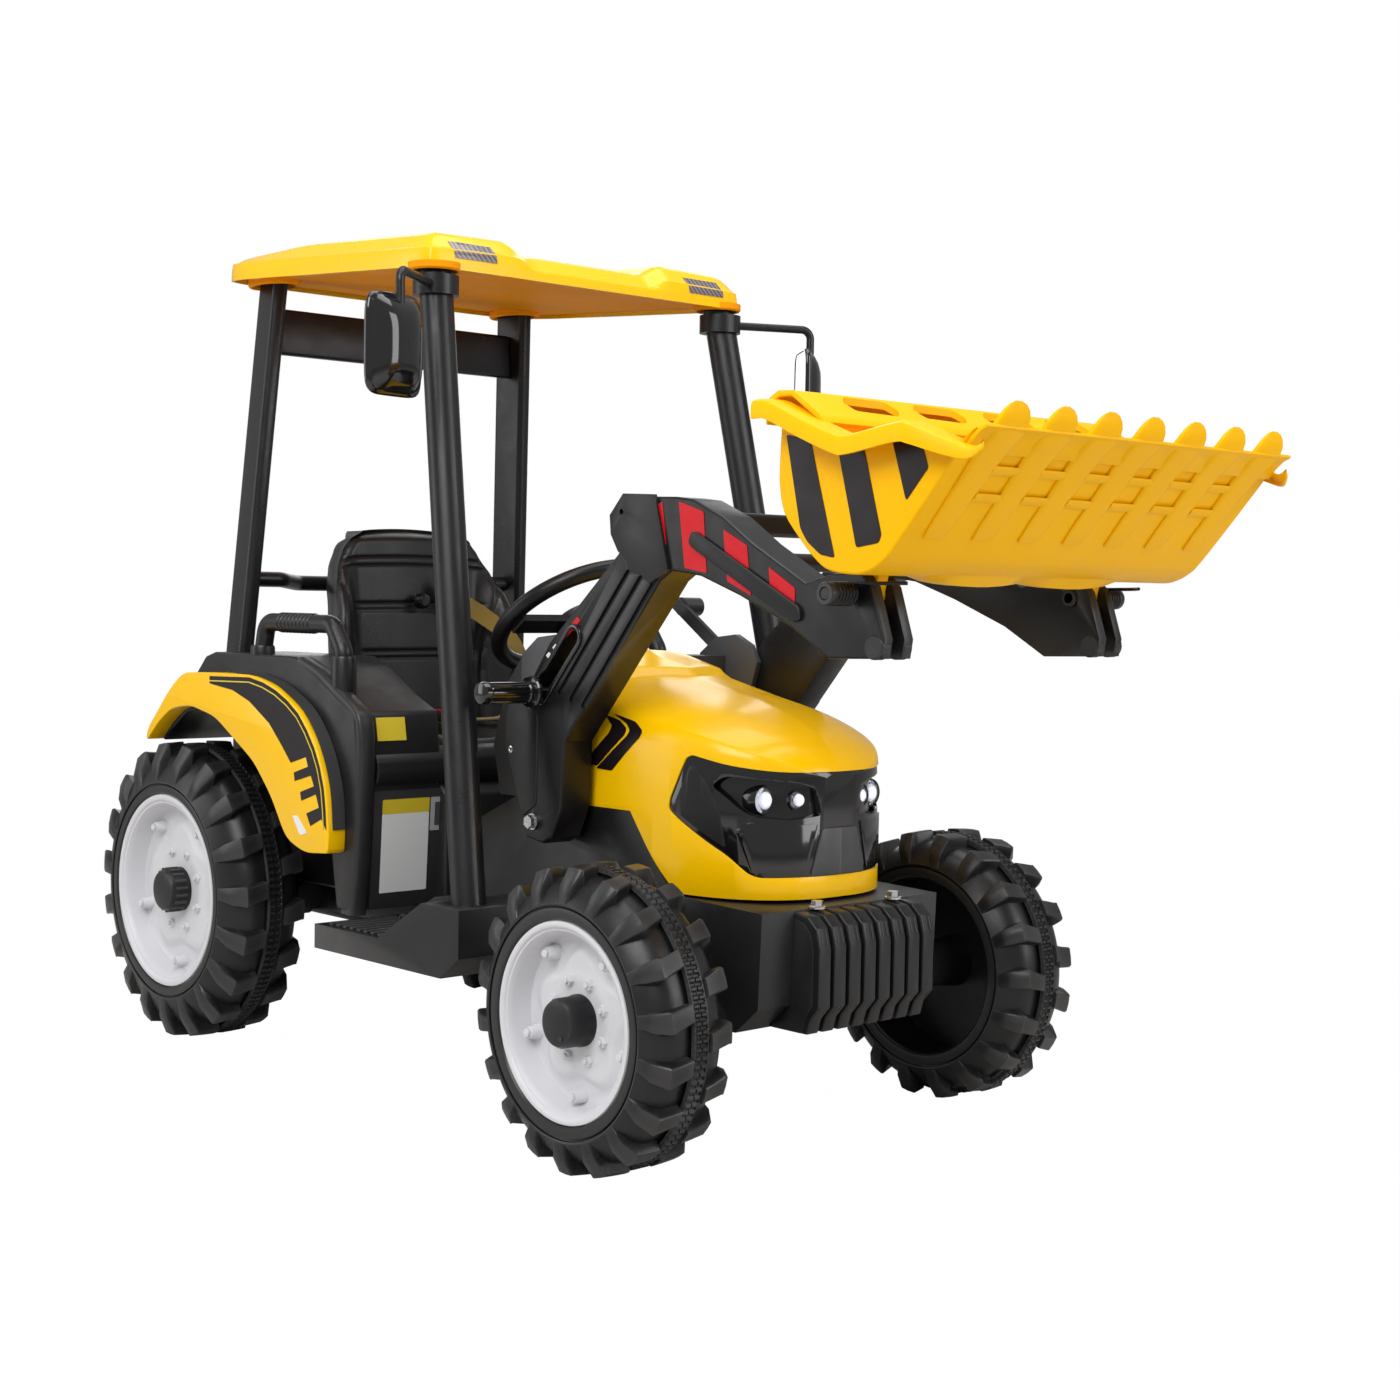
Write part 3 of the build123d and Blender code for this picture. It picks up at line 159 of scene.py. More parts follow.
BUCKET_YELLOW = finish_of("bucket_yellow", (1.0, 0.51, 0.0), 0.42, mottle=0.02, grain=0.04, wave=0.03,
                          specular=0.12)
# the roof underside's orange is painted shade and bounce light, not a colour of the plastic
PAINTED_UNDERSIDE_ORANGE_SIDE = finish_of("underside_painted_light", PAINTED_UNDERSIDE_ORANGE, 0.60, mottle=0.05, grain=0.08, specular=0.06)
RIM_WHITE = finish_of("rim_white", (0.66, 0.66, 0.69), 0.34, mottle=0.01, grain=0.03)
STEEL = finish_of("zinc_steel", (0.60, 0.60, 0.61), 0.26, metallic=1.0, mottle=0.1, grain=0.3,
                  grain_scale=1200.0)
DARK_GREY = finish_of("dark_grey", (0.05, 0.05, 0.055), 0.45, edge=0.3)
RED_FILM = finish_of("red_film", (0.58, 0.004, 0.012), 0.40, mottle=0.03, grain=0.05, specular=0.25)
WHITE_FILM = finish_of("white_film", (0.80, 0.80, 0.80), 0.35, mottle=0.02, grain=0.05)
GREY_FILM = finish_of("grey_film", (0.42, 0.42, 0.43), 0.4, mottle=0.04, grain=0.05)
BLACK_FILM = finish_of("black_film", (0.010, 0.006, 0.008), 0.34, mottle=0.05, grain=0.04, specular=0.3)
YELLOW_FILM = finish_of("yellow_film", (0.72, 0.55, 0.03), 0.4, mottle=0.04, grain=0.05)
MUSTARD_WEB = finish_of("mustard_webbing", (0.22, 0.14, 0.015), 0.75, grain=1.0, grain_scale=900.0,
                        sheen=0.3)


def hatched_film():
    """Dark grey reflective film with fine slanted lines."""
    material = finish_of("hatched_film", (0.10, 0.085, 0.10), 0.25, mottle=0.05, coat=0.5)
    tree = material.node_tree
    shader = tree.nodes["Principled BSDF"]
    place = tree.nodes.new("ShaderNodeTexCoord").outputs["Object"]
    lines = tree.nodes.new("ShaderNodeTexWave")
    lines.bands_direction = "DIAGONAL"
    lines.inputs["Scale"].default_value = 90.0
    tree.links.new(place, lines.inputs["Vector"])
    colour = blended(tree, lines.outputs["Fac"], (0.06, 0.05, 0.06), (0.24, 0.21, 0.22))
    tree.links.new(colour, shader.inputs["Base Color"])
    return material


HATCHED_FILM = hatched_film()


def lens_glass():
    material = finish_of("clear_lens", (0.95, 0.97, 1.0), 0.03, spread=0.01, mottle=0.01, grain=0.01)
    shader = material.node_tree.nodes["Principled BSDF"]
    socket(shader, "Transmission Weight", 0.9)
    return material


LENS = lens_glass()
MIRROR_FACE = finish_of("mirror_face", (0.50, 0.60, 0.68), 0.04, spread=0.01, mottle=0.03, grain=0.01,
                        metallic=1.0)
CHROME = finish_of("reflector", (0.80, 0.82, 0.86), 0.12, spread=0.04, mottle=0.05, grain=0.1, metallic=1.0)


# ---------------------------------------------------------------- mesh tools
def shade(mesh, angle=38.0):
    """Smooth faces, with edges sharper than the angle left crisp."""
    bm = bmesh.new()
    bm.from_mesh(mesh)
    limit = math.radians(angle)
    for face in bm.faces:
        face.smooth = True
    for edge in bm.edges:
        edge.smooth = len(edge.link_faces) == 2 and edge.calc_face_angle(0.0) < limit
    bm.to_mesh(mesh)
    bm.free()


def piece(name, mesh, material, body, nodes=(), angle=38.0):
    """A finished object on its body, with its material and the nodes it stands for."""
    shade(mesh, angle)
    obj = bpy.data.objects.new(name, mesh)
    SCENE.collection.objects.link(obj)
    if not mesh.materials:
        mesh.materials.append(material)
    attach(obj, body)
    if nodes:
        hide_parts(*nodes)
    return obj


def mesh_of(name, points, faces):
    mesh = bpy.data.meshes.new(name)
    mesh.from_pydata([tuple(p) for p in points], [], faces)
    bm = bmesh.new()
    bm.from_mesh(mesh)
    bmesh.ops.remove_doubles(bm, verts=bm.verts, dist=1e-6)
    bmesh.ops.recalc_face_normals(bm, faces=bm.faces)
    bm.to_mesh(mesh)
    bm.free()
    return mesh


def joined(name, meshes):
    """One mesh from several, which stay separate shells."""
    bm = bmesh.new()
    for mesh in meshes:
        bm.from_mesh(mesh)
    out = bpy.data.meshes.new(name)
    bm.to_mesh(out)
    bm.free()
    return out


def changed(mesh, *settings):
    """The mesh after the given modifiers: (type, {property: value})."""
    holder = bpy.data.objects.new("work", mesh)
    SCENE.collection.objects.link(holder)
    for kind, values in settings:
        modifier = holder.modifiers.new(kind, kind)
        for key, value in values.items():
            setattr(modifier, key, value)
    graph = bpy.context.evaluated_depsgraph_get()
    out = bpy.data.meshes.new_from_object(holder.evaluated_get(graph))
    bpy.data.objects.remove(holder)
    return out


def bevelled(mesh, width, segments=2, angle=32.0):
    return changed(mesh, ("BEVEL", {"width": width, "segments": segments, "limit_method": "ANGLE",
                                    "angle_limit": math.radians(angle), "use_clamp_overlap": True}),
                   ("WEIGHTED_NORMAL", {"keep_sharp": True}))


def combined(mesh, other, operation="DIFFERENCE"):
    """Boolean of two closed meshes."""
    tool = bpy.data.objects.new("tool", other)
    SCENE.collection.objects.link(tool)
    out = changed(mesh, ("BOOLEAN", {"object": tool, "operation": operation, "solver": "EXACT"}))
    bpy.data.objects.remove(tool)
    return out


def lathe(name, profile, steps=96, axis="Y", centre=(0, 0, 0), closed=True):
    """Turns (radius, along) points round an axis through centre."""
    points, faces = [], []
    count = len(profile)
    for step in range(steps):
        a = 2 * math.pi * step / steps
        for r, w in profile:
            if axis == "Y":
                p = (r * math.cos(a), w, r * math.sin(a))
            elif axis == "Z":
                p = (r * math.cos(a), r * math.sin(a), w)
            else:
                p = (w, r * math.cos(a), r * math.sin(a))
            points.append(Vector(p) + Vector(centre))
    last = count if closed else count - 1
    for step in range(steps):
        following = (step + 1) % steps
        for index in range(last):
            near, far = index, (index + 1) % count
            faces.append((step * count + near, step * count + far, following * count + far,
                          following * count + near))
    return mesh_of(name, points, faces)


def prism(name, outline, low, high, axis="Y"):
    """Extrudes an outline: (x, z) along Y, (x, y) along Z or (y, z) along X."""
    def place(a, b, along):
        return {"Y": (a, along, b), "Z": (a, b, along), "X": (along, a, b)}[axis]
    count = len(outline)
    points = [place(a, b, low) for a, b in outline] + [place(a, b, high) for a, b in outline]
    faces = [tuple(range(count)), tuple(range(count, 2 * count))]
    faces += [(i, (i + 1) % count, count + (i + 1) % count, count + i) for i in range(count)]
    return mesh_of(name, points, faces)


def block(x0, x1, y0, y1, z0, z1):
    return prism("block", [(x0, z0), (x1, z0), (x1, z1), (x0, z1)], y0, y1)


def rod(start, end, radius, steps=32, end_radius=None):
    """Closed round bar between two points; its ends have a small chamfer."""
    start, end = Vector(start), Vector(end)
    length = (end - start).length
    far = radius if end_radius is None else end_radius
    cut = min(radius, far) * 0.12
    profile = [(0, 0), (radius - cut, 0), (radius, cut), (far, length - cut), (far - cut, length),
               (0, length)]
    mesh = lathe("rod", profile, steps, "Z", closed=False)
    turn = Vector((0, 0, 1)).rotation_difference(end - start).to_matrix().to_4x4()
    mesh.transform(Matrix.Translation(start) @ turn)
    return mesh


def tube(points, radius, name="tube", steps=12, closed=False, resolution=10):
    """Round tube along a smooth curve through points."""
    curve = bpy.data.curves.new(name, "CURVE")
    curve.dimensions = "3D"
    curve.bevel_depth = radius
    curve.bevel_resolution = steps // 2
    curve.use_fill_caps = not closed
    curve.resolution_u = resolution
    spline = curve.splines.new("NURBS")
    spline.points.add(len(points) - 1)
    for target, point in zip(spline.points, points):
        target.co = (*point, 1)
    spline.order_u = 3
    spline.use_endpoint_u = not closed
    spline.use_cyclic_u = closed
    holder = bpy.data.objects.new(name, curve)
    SCENE.collection.objects.link(holder)
    graph = bpy.context.evaluated_depsgraph_get()
    mesh = bpy.data.meshes.new_from_object(holder.evaluated_get(graph))
    bpy.data.objects.remove(holder)
    return mesh


def turned(mesh, angle, axis="Y", centre=(0, 0, 0)):
    out = mesh.copy()
    move = Matrix.Translation(centre) @ Matrix.Rotation(angle, 4,
                                                        axis) @ Matrix.Translation(-Vector(centre))
    out.transform(move)
    return out


def cleaned_cad(node):
    """A copy of a CAD node's mesh with its flat faces whole again."""
    mesh = NODES[node].data.copy()
    mesh.materials.clear()
    bm = bmesh.new()
    bm.from_mesh(mesh)
    bmesh.ops.remove_doubles(bm, verts=bm.verts, dist=1e-6)
    bmesh.ops.dissolve_limit(bm, angle_limit=math.radians(0.6), verts=bm.verts, edges=bm.edges)
    bm.to_mesh(mesh)
    bm.free()
    return mesh


def body_of(node):
    for name, members in frame["record"]["behaviour"]["bodies"].items():
        if node in members:
            return name
    raise ValueError(node)


def softened(node, width, material, segments=3):
    """Stands for a CAD node with the same solid, its edges rounded as moulded."""
    mesh = bevelled(cleaned_cad(node), width, segments)
    return piece(node + "_skin", mesh, material, body_of(node), [node], 50.0)


def decal(name, outline, onto, direction, material, body, axis="Y", cell=0.006, lift=0.0005):
    """Thin film cut to an outline and laid on a surface, seen along one axis."""
    bm = bmesh.new()

    def place(a, b):
        return {"Y": Vector((a, 0, b)), "Z": Vector((a, b, 0)), "X": Vector((0, a, b))}[axis]
    bm.faces.new([bm.verts.new(place(a, b)) for a, b in outline])
    first = place(1, 0)
    second = place(0, 1)
    for along in (first, second):
        values = [v.co.dot(along) for v in bm.verts]
        count = int((max(values) - min(values)) / cell)
        for index in range(1, count + 1):
            geometry = bm.verts[:] + bm.edges[:] + bm.faces[:]
            bmesh.ops.bisect_plane(bm, geom=geometry, plane_co=along * (min(values) + index * cell),
                                   plane_no=along)
    surface = onto
    if not isinstance(onto, BVHTree):
        surface = BVHTree.FromObject(onto, bpy.context.evaluated_depsgraph_get())
    direction = Vector(direction)
    for vertex in bm.verts:
        hit, _, _, _ = surface.ray_cast(vertex.co - direction * 2.0, direction)
        if hit is None:
            hit, _, _, _ = surface.find_nearest(vertex.co)
        vertex.co = hit - direction * lift
    mesh = bpy.data.meshes.new(name)
    bm.to_mesh(mesh)
    bm.free()
    mesh = changed(mesh, ("SOLIDIFY", {"thickness": 0.0004, "offset": 0.0}))
    return piece(name, mesh, material, body)
LAMP_WHITE = finish_of("lamp_white", (0.80, 0.84, 1.0), 0.10, mottle=0.10, grain=0.1, coat=0.5)
socket(LAMP_WHITE.node_tree.nodes["Principled BSDF"], "Emission Color", (0.86, 0.88, 1.0, 1.0))
socket(LAMP_WHITE.node_tree.nodes["Principled BSDF"], "Emission Strength", 0.55)


# ---------------------------------------------------------------- wheels
def shoulder(lateral, half, top, rim_radius):
    """Radius of the tyre's carcass at a distance from its middle plane."""
    share = max(0.0, (lateral / half - 0.30) / 0.70)
    return top - (top - rim_radius - 0.003) * share ** 2.6


def carcass_profile(radius, half, rim_radius, lug, bead):
    """Half section of a tyre as (lateral, radius) from the middle of the tread to the bead."""
    top = radius - lug
    steps = [0.0, 0.30, 0.45, 0.58, 0.68, 0.76, 0.83, 0.89, 0.94, 0.97, 0.99, 1.0]
    curve = [(half * share, shoulder(half * share, half, top, rim_radius)) for share in steps]
    return curve + [(half - 0.0006, rim_radius + 0.0012), (half - 0.0028, rim_radius + 0.0006),
                    (half - 0.0032, rim_radius - 0.0006), (half - 0.0012, rim_radius - 0.0014),
                    (half - 0.0006, rim_radius - 0.0030), (half - 0.0014, bead + 0.003),
                    (half - 0.0030, bead + 0.001),
                    (half - 0.0050, bead), (half - 0.014, bead)]


SLOPE_STEP = 0.0005


def tyre_lug(x, z, y, side, radius, half, lug_height, width, angle, rim_radius, facing):
    """One tread bar: square beside the middle band, bent down at the shoulder and faded out at the bead."""
    top = radius - lug_height
    rail = [(0.22, 1.0, 0.86), (0.40, 0.99, 0.92), (0.62, 1.0, 1.0), (0.70, 1.06, 1.04), (0.74, 1.06, 1.02),
            (0.82, 0.74, 0.92), (0.90, 0.40, 0.78), (0.96, 0.16, 0.66), (0.995, 0.02, 0.60),
            (1.0, -0.10, 0.58)]
    section = [(-0.52, -0.35), (-0.50, 0.0), (-0.455, 0.55), (-0.42, 0.88), (-0.36, 0.985), (0.0, 1.0),
               (0.36, 0.985), (0.42, 0.88), (0.455, 0.55), (0.50, 0.0), (0.52, -0.35)]
    points, faces = [], []
    for share, rise, spread in rail:
        lateral = half * share
        r = shoulder(lateral, half, top, rim_radius)
        ahead = shoulder(lateral + SLOPE_STEP, half, top, rim_radius)
        behind = shoulder(lateral - SLOPE_STEP, half, top, rim_radius)
        slope = (ahead - behind) * 1000
        lean = math.atan(-slope)
        out_w, out_r = math.sin(lean), math.cos(lean)
        if share < 0.76:
            out_w, out_r = 0.0, 1.0
            rise = (radius - 0.0014 * (share / 0.7) ** 2 - r) / lug_height
        skew = (0.0045 - 0.014 * abs(share - 0.70)) * facing
        for across, height in section:
            h = -0.005 if height < 0 else height * lug_height * rise
            w = min(lateral + h * out_w, half + (0.0 if height > 0.0 else -0.0004))
            rr = min(r + h * out_r, radius)
            a = angle + (across * width * spread + skew) / r
            points.append((x + rr * math.sin(a), y + side * facing * w, z + rr * math.cos(a)))
    count = len(section)
    for row in range(len(rail) - 1):
        for col in range(count - 1):
            a = row * count + col
            faces.append((a, a + 1, a + count + 1, a + count))
    faces.append(tuple(range(count)))
    faces.append(tuple(range((len(rail) - 1) * count, len(rail) * count)))
    for row in range(len(rail) - 1):
        faces.append((row * count, (row + 1) * count, (row + 1) * count + count - 1,
                      row * count + count - 1))
    return mesh_of("lug", points, faces)


def knurled_band(x, z, y, radius, teeth):
    """The middle band: two rows of small slanted teeth between plain rails."""
    columns = teeth * 4
    rows = [(-0.0095, -0.006, 0), (-0.0090, -0.0015, 0), (-0.0078, -0.0015, 0), (-0.0074, 0, 1),
            (-0.0044, 0, 1),
            (-0.0040, 0, 1), (-0.0008, 0, 1), (-0.0006, -0.0024, 0), (0.0006, -0.0024, 0), (0.0008, 0, 2),
            (0.0040, 0, 2), (0.0044, 0, 2), (0.0074, 0, 2), (0.0078, -0.0015, 0), (0.0090, -0.0015, 0),
            (0.0095, -0.006, 0)]
    points, faces = [], []
    for col in range(columns):
        for w, drop, kind in rows:
            depth = drop
            if kind:
                slant = w * 90 * (1 if kind == 1 else -1)
                depth = -0.0008 if (col + slant) % 4 < 2 else -0.0030
            a = 2 * math.pi * col / columns
            r = radius - 0.0018 + depth
            points.append((x + r * math.sin(a), y + w, z + r * math.cos(a)))
    count = len(rows)
    for col in range(columns):
        following = (col + 1) % columns
        for row in range(count):
            nxt = (row + 1) % count
            faces.append((col * count + row, following * count + row, following * count + nxt,
                          col * count + nxt))
    return mesh_of("band", points, faces)


def tyre(name, x, y, side, radius, width, rim_radius, lugs, lug_height):
    half = width / 2
    bead = (rim_radius - 0.020) * 1.06
    outer = [(r, side * w + y) for w, r in carcass_profile(radius, half, rim_radius, lug_height, bead)]
    inner = [(r, -side * w + y) for w, r in carcass_profile(radius, half, rim_radius, lug_height, bead)]
    profile = outer[::-1] + inner[1:]
    carcass = lathe("carcass", profile, 144, "Y", (x, 0, radius))
    pitch = 2 * math.pi / lugs
    lug_width = radius * pitch * 0.42
    meshes = [carcass, knurled_band(x, radius, y, radius, int(radius * 2 * math.pi / 0.0085))]
    for index in range(lugs):
        meshes.append(tyre_lug(x, radius, y, side, radius, half, lug_height, lug_width,
                               math.pi + index * pitch, rim_radius, 1))
        meshes.append(tyre_lug(x, radius, y, side, radius, half, lug_height, lug_width,
                               math.pi + (index + 0.5) * pitch, rim_radius, -1))
    return piece(name + "_tread", joined(name, meshes), TYRE_BLACK, body_of(name), [name],
                 32.0)


def dish(x, y, side, z, rim_radius, half, lobes=5):
    """White dished wheel disc: rolled lip, deep well and a raised five-lobed boss plate."""
    lip = rim_radius - 0.020
    radii = [0.012, 0.024, 0.030, 0.036, 0.042, 0.046, 0.050, 0.054, 0.058, 0.062, 0.066, 0.070]
    radii = [r * lip / 0.0945 for r in radii]
    columns = 120
    points, faces = [], []
    deep = half - 0.034

    def height(r, a):
        share = r / lip
        lobe = 0.62 + 0.08 * math.cos(lobes * a)
        raised = 1 - min(1.0, max(0.0, (share - lobe) / 0.09))
        raised = raised * raised * (3 - 2 * raised)
        ring = math.exp(-((share - 0.43) / 0.05) ** 2) * 0.0012
        return deep + 0.001 + 0.0055 * raised + ring
    rows = []
    for r in radii:
        rows.append([(r, height(r, 2 * math.pi * c / columns)) for c in range(columns)])
    for r, w in ((lip * 0.80, deep + 0.0005), (lip * 0.86, deep + 0.0006), (lip * 0.90, deep + 0.003),
                 (lip * 0.925, deep + 0.012), (lip * 0.945, deep + 0.022), (lip * 0.955, half - 0.0085),
                 (lip * 0.97, half - 0.0062), (lip * 0.99, half - 0.0058), (lip * 1.00, half - 0.0040),
                 (lip * 1.02, half - 0.0030), (lip * 1.045, half - 0.0034), (lip * 1.055, half - 0.0060),
                 (lip * 1.06, half - 0.012)):
        rows.append([(r, w)] * columns)
    for row in rows:
        for col, (r, w) in enumerate(row):
            a = 2 * math.pi * col / columns
            points.append((x + r * math.sin(a), y + side * w, z + r * math.cos(a)))
    for row in range(len(rows) - 1):
        for col in range(columns):
            following = (col + 1) % columns
            faces.append((row * columns + col, row * columns + following,
                          (row + 1) * columns + following, (row + 1) * columns + col))
    return changed(mesh_of("dish", points, faces), ("SOLIDIFY", {"thickness": 0.003, "offset": 0.0}))


def wheel_disc(name, x, y, side, radius, width, rim_radius, cap_out, cap_radius, ribbed):
    half = width / 2
    lip = rim_radius - 0.020
    deep = half - 0.034
    face = y + side * (deep + 0.006)
    meshes = [dish(x, y, side, radius, rim_radius, half)]
    for index in range(5):
        a = math.radians(36 + 72 * index)
        r = lip * 0.80
        spot = Vector((x + r * math.sin(a), 0, radius + r * math.cos(a)))
        start, end = spot.copy(), spot.copy()
        start.y, end.y = y + side * (deep - 0.002), y + side * (deep + 0.016)
        meshes.append(rod(start, end, 0.0085, 20, 0.0062))
        tip = end.copy()
        tip.y += side * 0.0035
        meshes.append(rod(end, tip, 0.0042, 14))
    for index in range(8):
        a = math.radians(22.5 + 45 * index)
        r = lip * 0.43
        spot = Vector((x + r * math.sin(a), 0, radius + r * math.cos(a)))
        base, top = spot.copy(), spot.copy()
        base.y, top.y = face - side * 0.002, face + side * 0.0068
        meshes.append(rod(base, top, 0.0066, 6, 0.0058))
        mid, end = top.copy(), top.copy()
        end.y += side * 0.003
        meshes.append(rod(mid, end, 0.0028, 10))
    disc = joined(name, meshes)
    piece(name + "_disc", disc, RIM_WHITE, body_of(name), [name], 40.0)
    back = lathe("back", [(rim_radius - 0.001, y - side * (half - 0.010)),
                          (rim_radius - 0.001, y + side * (half - 0.012)),
                          (rim_radius - 0.005, y + side * (half - 0.012)),
                          (rim_radius - 0.005, y - side * (half - 0.010))],
                 96, "Y", (x, 0, radius))
    web = lathe("web", [(0.008, y + side * (deep - 0.003)), (rim_radius - 0.004, y + side * (deep - 0.003)),
                        (rim_radius - 0.004, y + side * (deep - 0.006)), (0.030, y + side * (deep - 0.006)),
                        (0.024, y - side * (half - 0.010)), (0.008, y - side * (half - 0.010))],
                72, "Y", (x, 0, radius))
    piece(name + "_back", joined("back", [back, web]), SATIN_BLACK, body_of(name))
    cap = cap_radius * MM
    tip = y + side * (half + cap_out * MM)
    foot = y + side * (deep + 0.004)
    profile = [(0, tip), (cap * 0.70, tip), (cap * 0.90, tip - side * 0.0015), (cap, tip - side * 0.006),
               (cap, foot + side * 0.010), (cap * 1.05, foot + side * 0.008), (cap * 1.05, foot)]
    shell = lathe("cap", profile, 64, "Y", (x, 0, radius), closed=False)
    parts = [shell]
    if ribbed:
        for index in range(18):
            a = 2 * math.pi * index / 18
            r = cap * 1.0
            start = Vector((x + r * math.sin(a), foot + side * 0.009, radius + r * math.cos(a)))
            end = start.copy()
            end.y = tip - side * 0.006
            parts.append(rod(start, end, 0.0022, 8))
    else:
        pin = Vector((x + cap * 0.35, tip - side * 0.0012, radius - cap * 0.55))
        end = pin.copy()
        end.y += side * 0.0024
        parts.append(rod(pin, end, 0.0028, 12))
    piece(name + "_cap", joined("cap", parts), SATIN_BLACK, body_of(name), (), 35.0)


def wheels():
    for side_name, side in SIDES:
        tyre("front_tyre_" + side_name, 0.280, side * 0.264, side, 0.155, 0.102, 0.115, 18, 0.011)
        tyre("rear_tyre_" + side_name, -0.550, side * 0.246, side, 0.190, 0.108, 0.136, 19, 0.011)
        wheel_disc("front_rim_" + side_name, 0.280, side * 0.264, side, 0.155, 0.102, 0.115, 5.5, 25, False)
        wheel_disc("rear_rim_" + side_name, -0.550, side * 0.246, side, 0.190, 0.108, 0.136, 1.5, 27, True)


wheels()


# ---------------------------------------------------------------- curves used by several shapes
def smooth_line(points, steps=8):
    """Catmull-Rom curve through points of any size."""
    ends = [points[0]] + list(points) + [points[-1]]
    out = []
    for index in range(1, len(ends) - 2):
        p0, p1, p2, p3 = (Vector(p) for p in ends[index - 1:index + 3])
        for step in range(steps):
            t = step / steps
            out.append(0.5 * (2 * p1 + (p2 - p0) * t + (2 * p0 - 5 * p1 + 4 * p2 - p3) * t * t
                              + (3 * p1 - p0 - 3 * p2 + p3) * t ** 3))
    out.append(Vector(points[-1]))
    return out


def eased(value, low, high):
    t = min(1.0, max(0.0, (value - low) / (high - low)))
    return t * t * (3 - 2 * t)


def in_metres(points):
    return [tuple(c * MM for c in p) for p in points]


def skinned(name, rows, closed_rows=False, caps=False):
    """Quads between rows of points that all have the same count."""
    count = len(rows[0])
    points = [p for row in rows for p in row]
    faces = []
    for row in range(len(rows) - 1):
        for col in range(count if closed_rows else count - 1):
            following = (col + 1) % count
            faces.append((row * count + col, row * count + following,
                          (row + 1) * count + following, (row + 1) * count + col))
    if caps:
        faces.append(tuple(range(count)))
        faces.append(tuple(range((len(rows) - 1) * count, len(rows) * count)))
    return mesh_of(name, points, faces)


# ---------------------------------------------------------------- bonnet and front mask
NOSE_FRONT = 356.0
NOSE_LINES = ((34, 448, 480, 502, 508), (100, 440, 466, 486, 493), (180, 430, 450, 468, 475),
              (260, 420, 436, 451, 457), (320, 406, 417, 428, 432), (348, 394, 400, 406, 408),
              (357, 384, 387, 390, 391))


def nose_heights(x):
    """Side, shoulder, quarter and crown heights of the hood at a station."""
    line = smooth_line(NOSE_LINES, 12)
    for near, far in zip(line, line[1:]):
        if near[0] <= x <= far[0]:
            share = (x - near[0]) / max(1e-6, far[0] - near[0])
            return [near[i] + (far[i] - near[i]) * share for i in range(1, 5)]
    return list(line[-1][1:])


def nose_half(x, inset):
    if x < 150:
        return 133.0 - inset
    share = min(1.0, (x - 150) / (NOSE_FRONT - 150))
    return max(0.5, 133.0 * (1 - share ** 3.4) ** 0.42 - inset)


def nose_form(inset=0.0, raised=True):
    """The closed, crowned outer form of the hood, drawn in by an inset."""
    rows = []
    for step in range(96):
        t = step / 95
        x = 34 + (NOSE_FRONT - 0.5 - inset - 34) * math.sin(t * math.pi / 2)
        half = nose_half(x + inset * 0.5, inset)
        side_z, shoulder, quarter, crown = (h - inset for h in nose_heights(min(NOSE_FRONT, x + inset)))
        right = [(-half, 250), (-half - 0.0, 300), (-half * 0.998, 350), (-half * 0.992, side_z - 26)]
        arc = smooth_line([(-half * 0.985, side_z - 14), (-half * 0.955, side_z + 4),
                           (-half * 0.86, shoulder),
                           (-half * 0.5, quarter), (0, crown)], 7)
        right += [tuple(p) for p in arc]
        section = right + [(-y, z) for y, z in reversed(right[:-1])]
        row = []
        for y, z in section:
            if raised:
                edge = 128 - abs(y) * 0.42
                lift = 6.5 * eased(edge - x, 0, 9) * eased(86 - abs(y), 0, 12)
                z += lift
            row.append((x * MM, y * MM, z * MM))
        rows.append(row)
    return skinned("nose", rows, True, True)


MASK_SIDE = [(229, 352), (230, 362), (251, 408), (258, 411), (300, 402), (340, 396), (420, 392), (420, 286),
             (326, 286), (318, 290), (300, 308), (240, 344)]
LAMP_PLACES = ((322.0, 80.0, 14.0), (338.0, 47.0, 12.0))
LAMP_HEIGHT = 366.0


def rounded_outline(outline, radius, steps=4):
    """The outline with each corner cut by a small curve."""
    out = []
    count = len(outline)
    for index in range(count):
        here = Vector(outline[index])
        before = Vector(outline[index - 1]) - here
        after = Vector(outline[(index + 1) % count]) - here
        reach = min(radius, before.length * 0.45, after.length * 0.45)
        start, end = here + before.normalized() * reach, here + after.normalized() * reach
        for step in range(steps + 1):
            t = step / steps
            out.append(tuple((1 - t) ** 2 * start + 2 * t * (1 - t) * here + t * t * end))
    return out


def hood():
    form = nose_form()
    inner = nose_form(4.0)
    hollow = combined(form, inner)
    edge = in_metres([(30, 345), (166, 345), (214, 290), (242, 264), (420, 262), (420, 700), (30, 700)])
    shell = combined(hollow, prism("above", rounded_outline(edge, 0.008), -0.2, 0.2), "INTERSECT")
    hole = prism("mask_hole", rounded_outline(in_metres(MASK_SIDE), 0.010), -0.2, 0.2)
    shell = combined(shell, hole)
    shell = bevelled(shell, 0.0012, 2, 50.0)
    return piece("bonnet_shell", shell, BRIGHT_YELLOW, "chassis", ["bonnet"], 30.0)


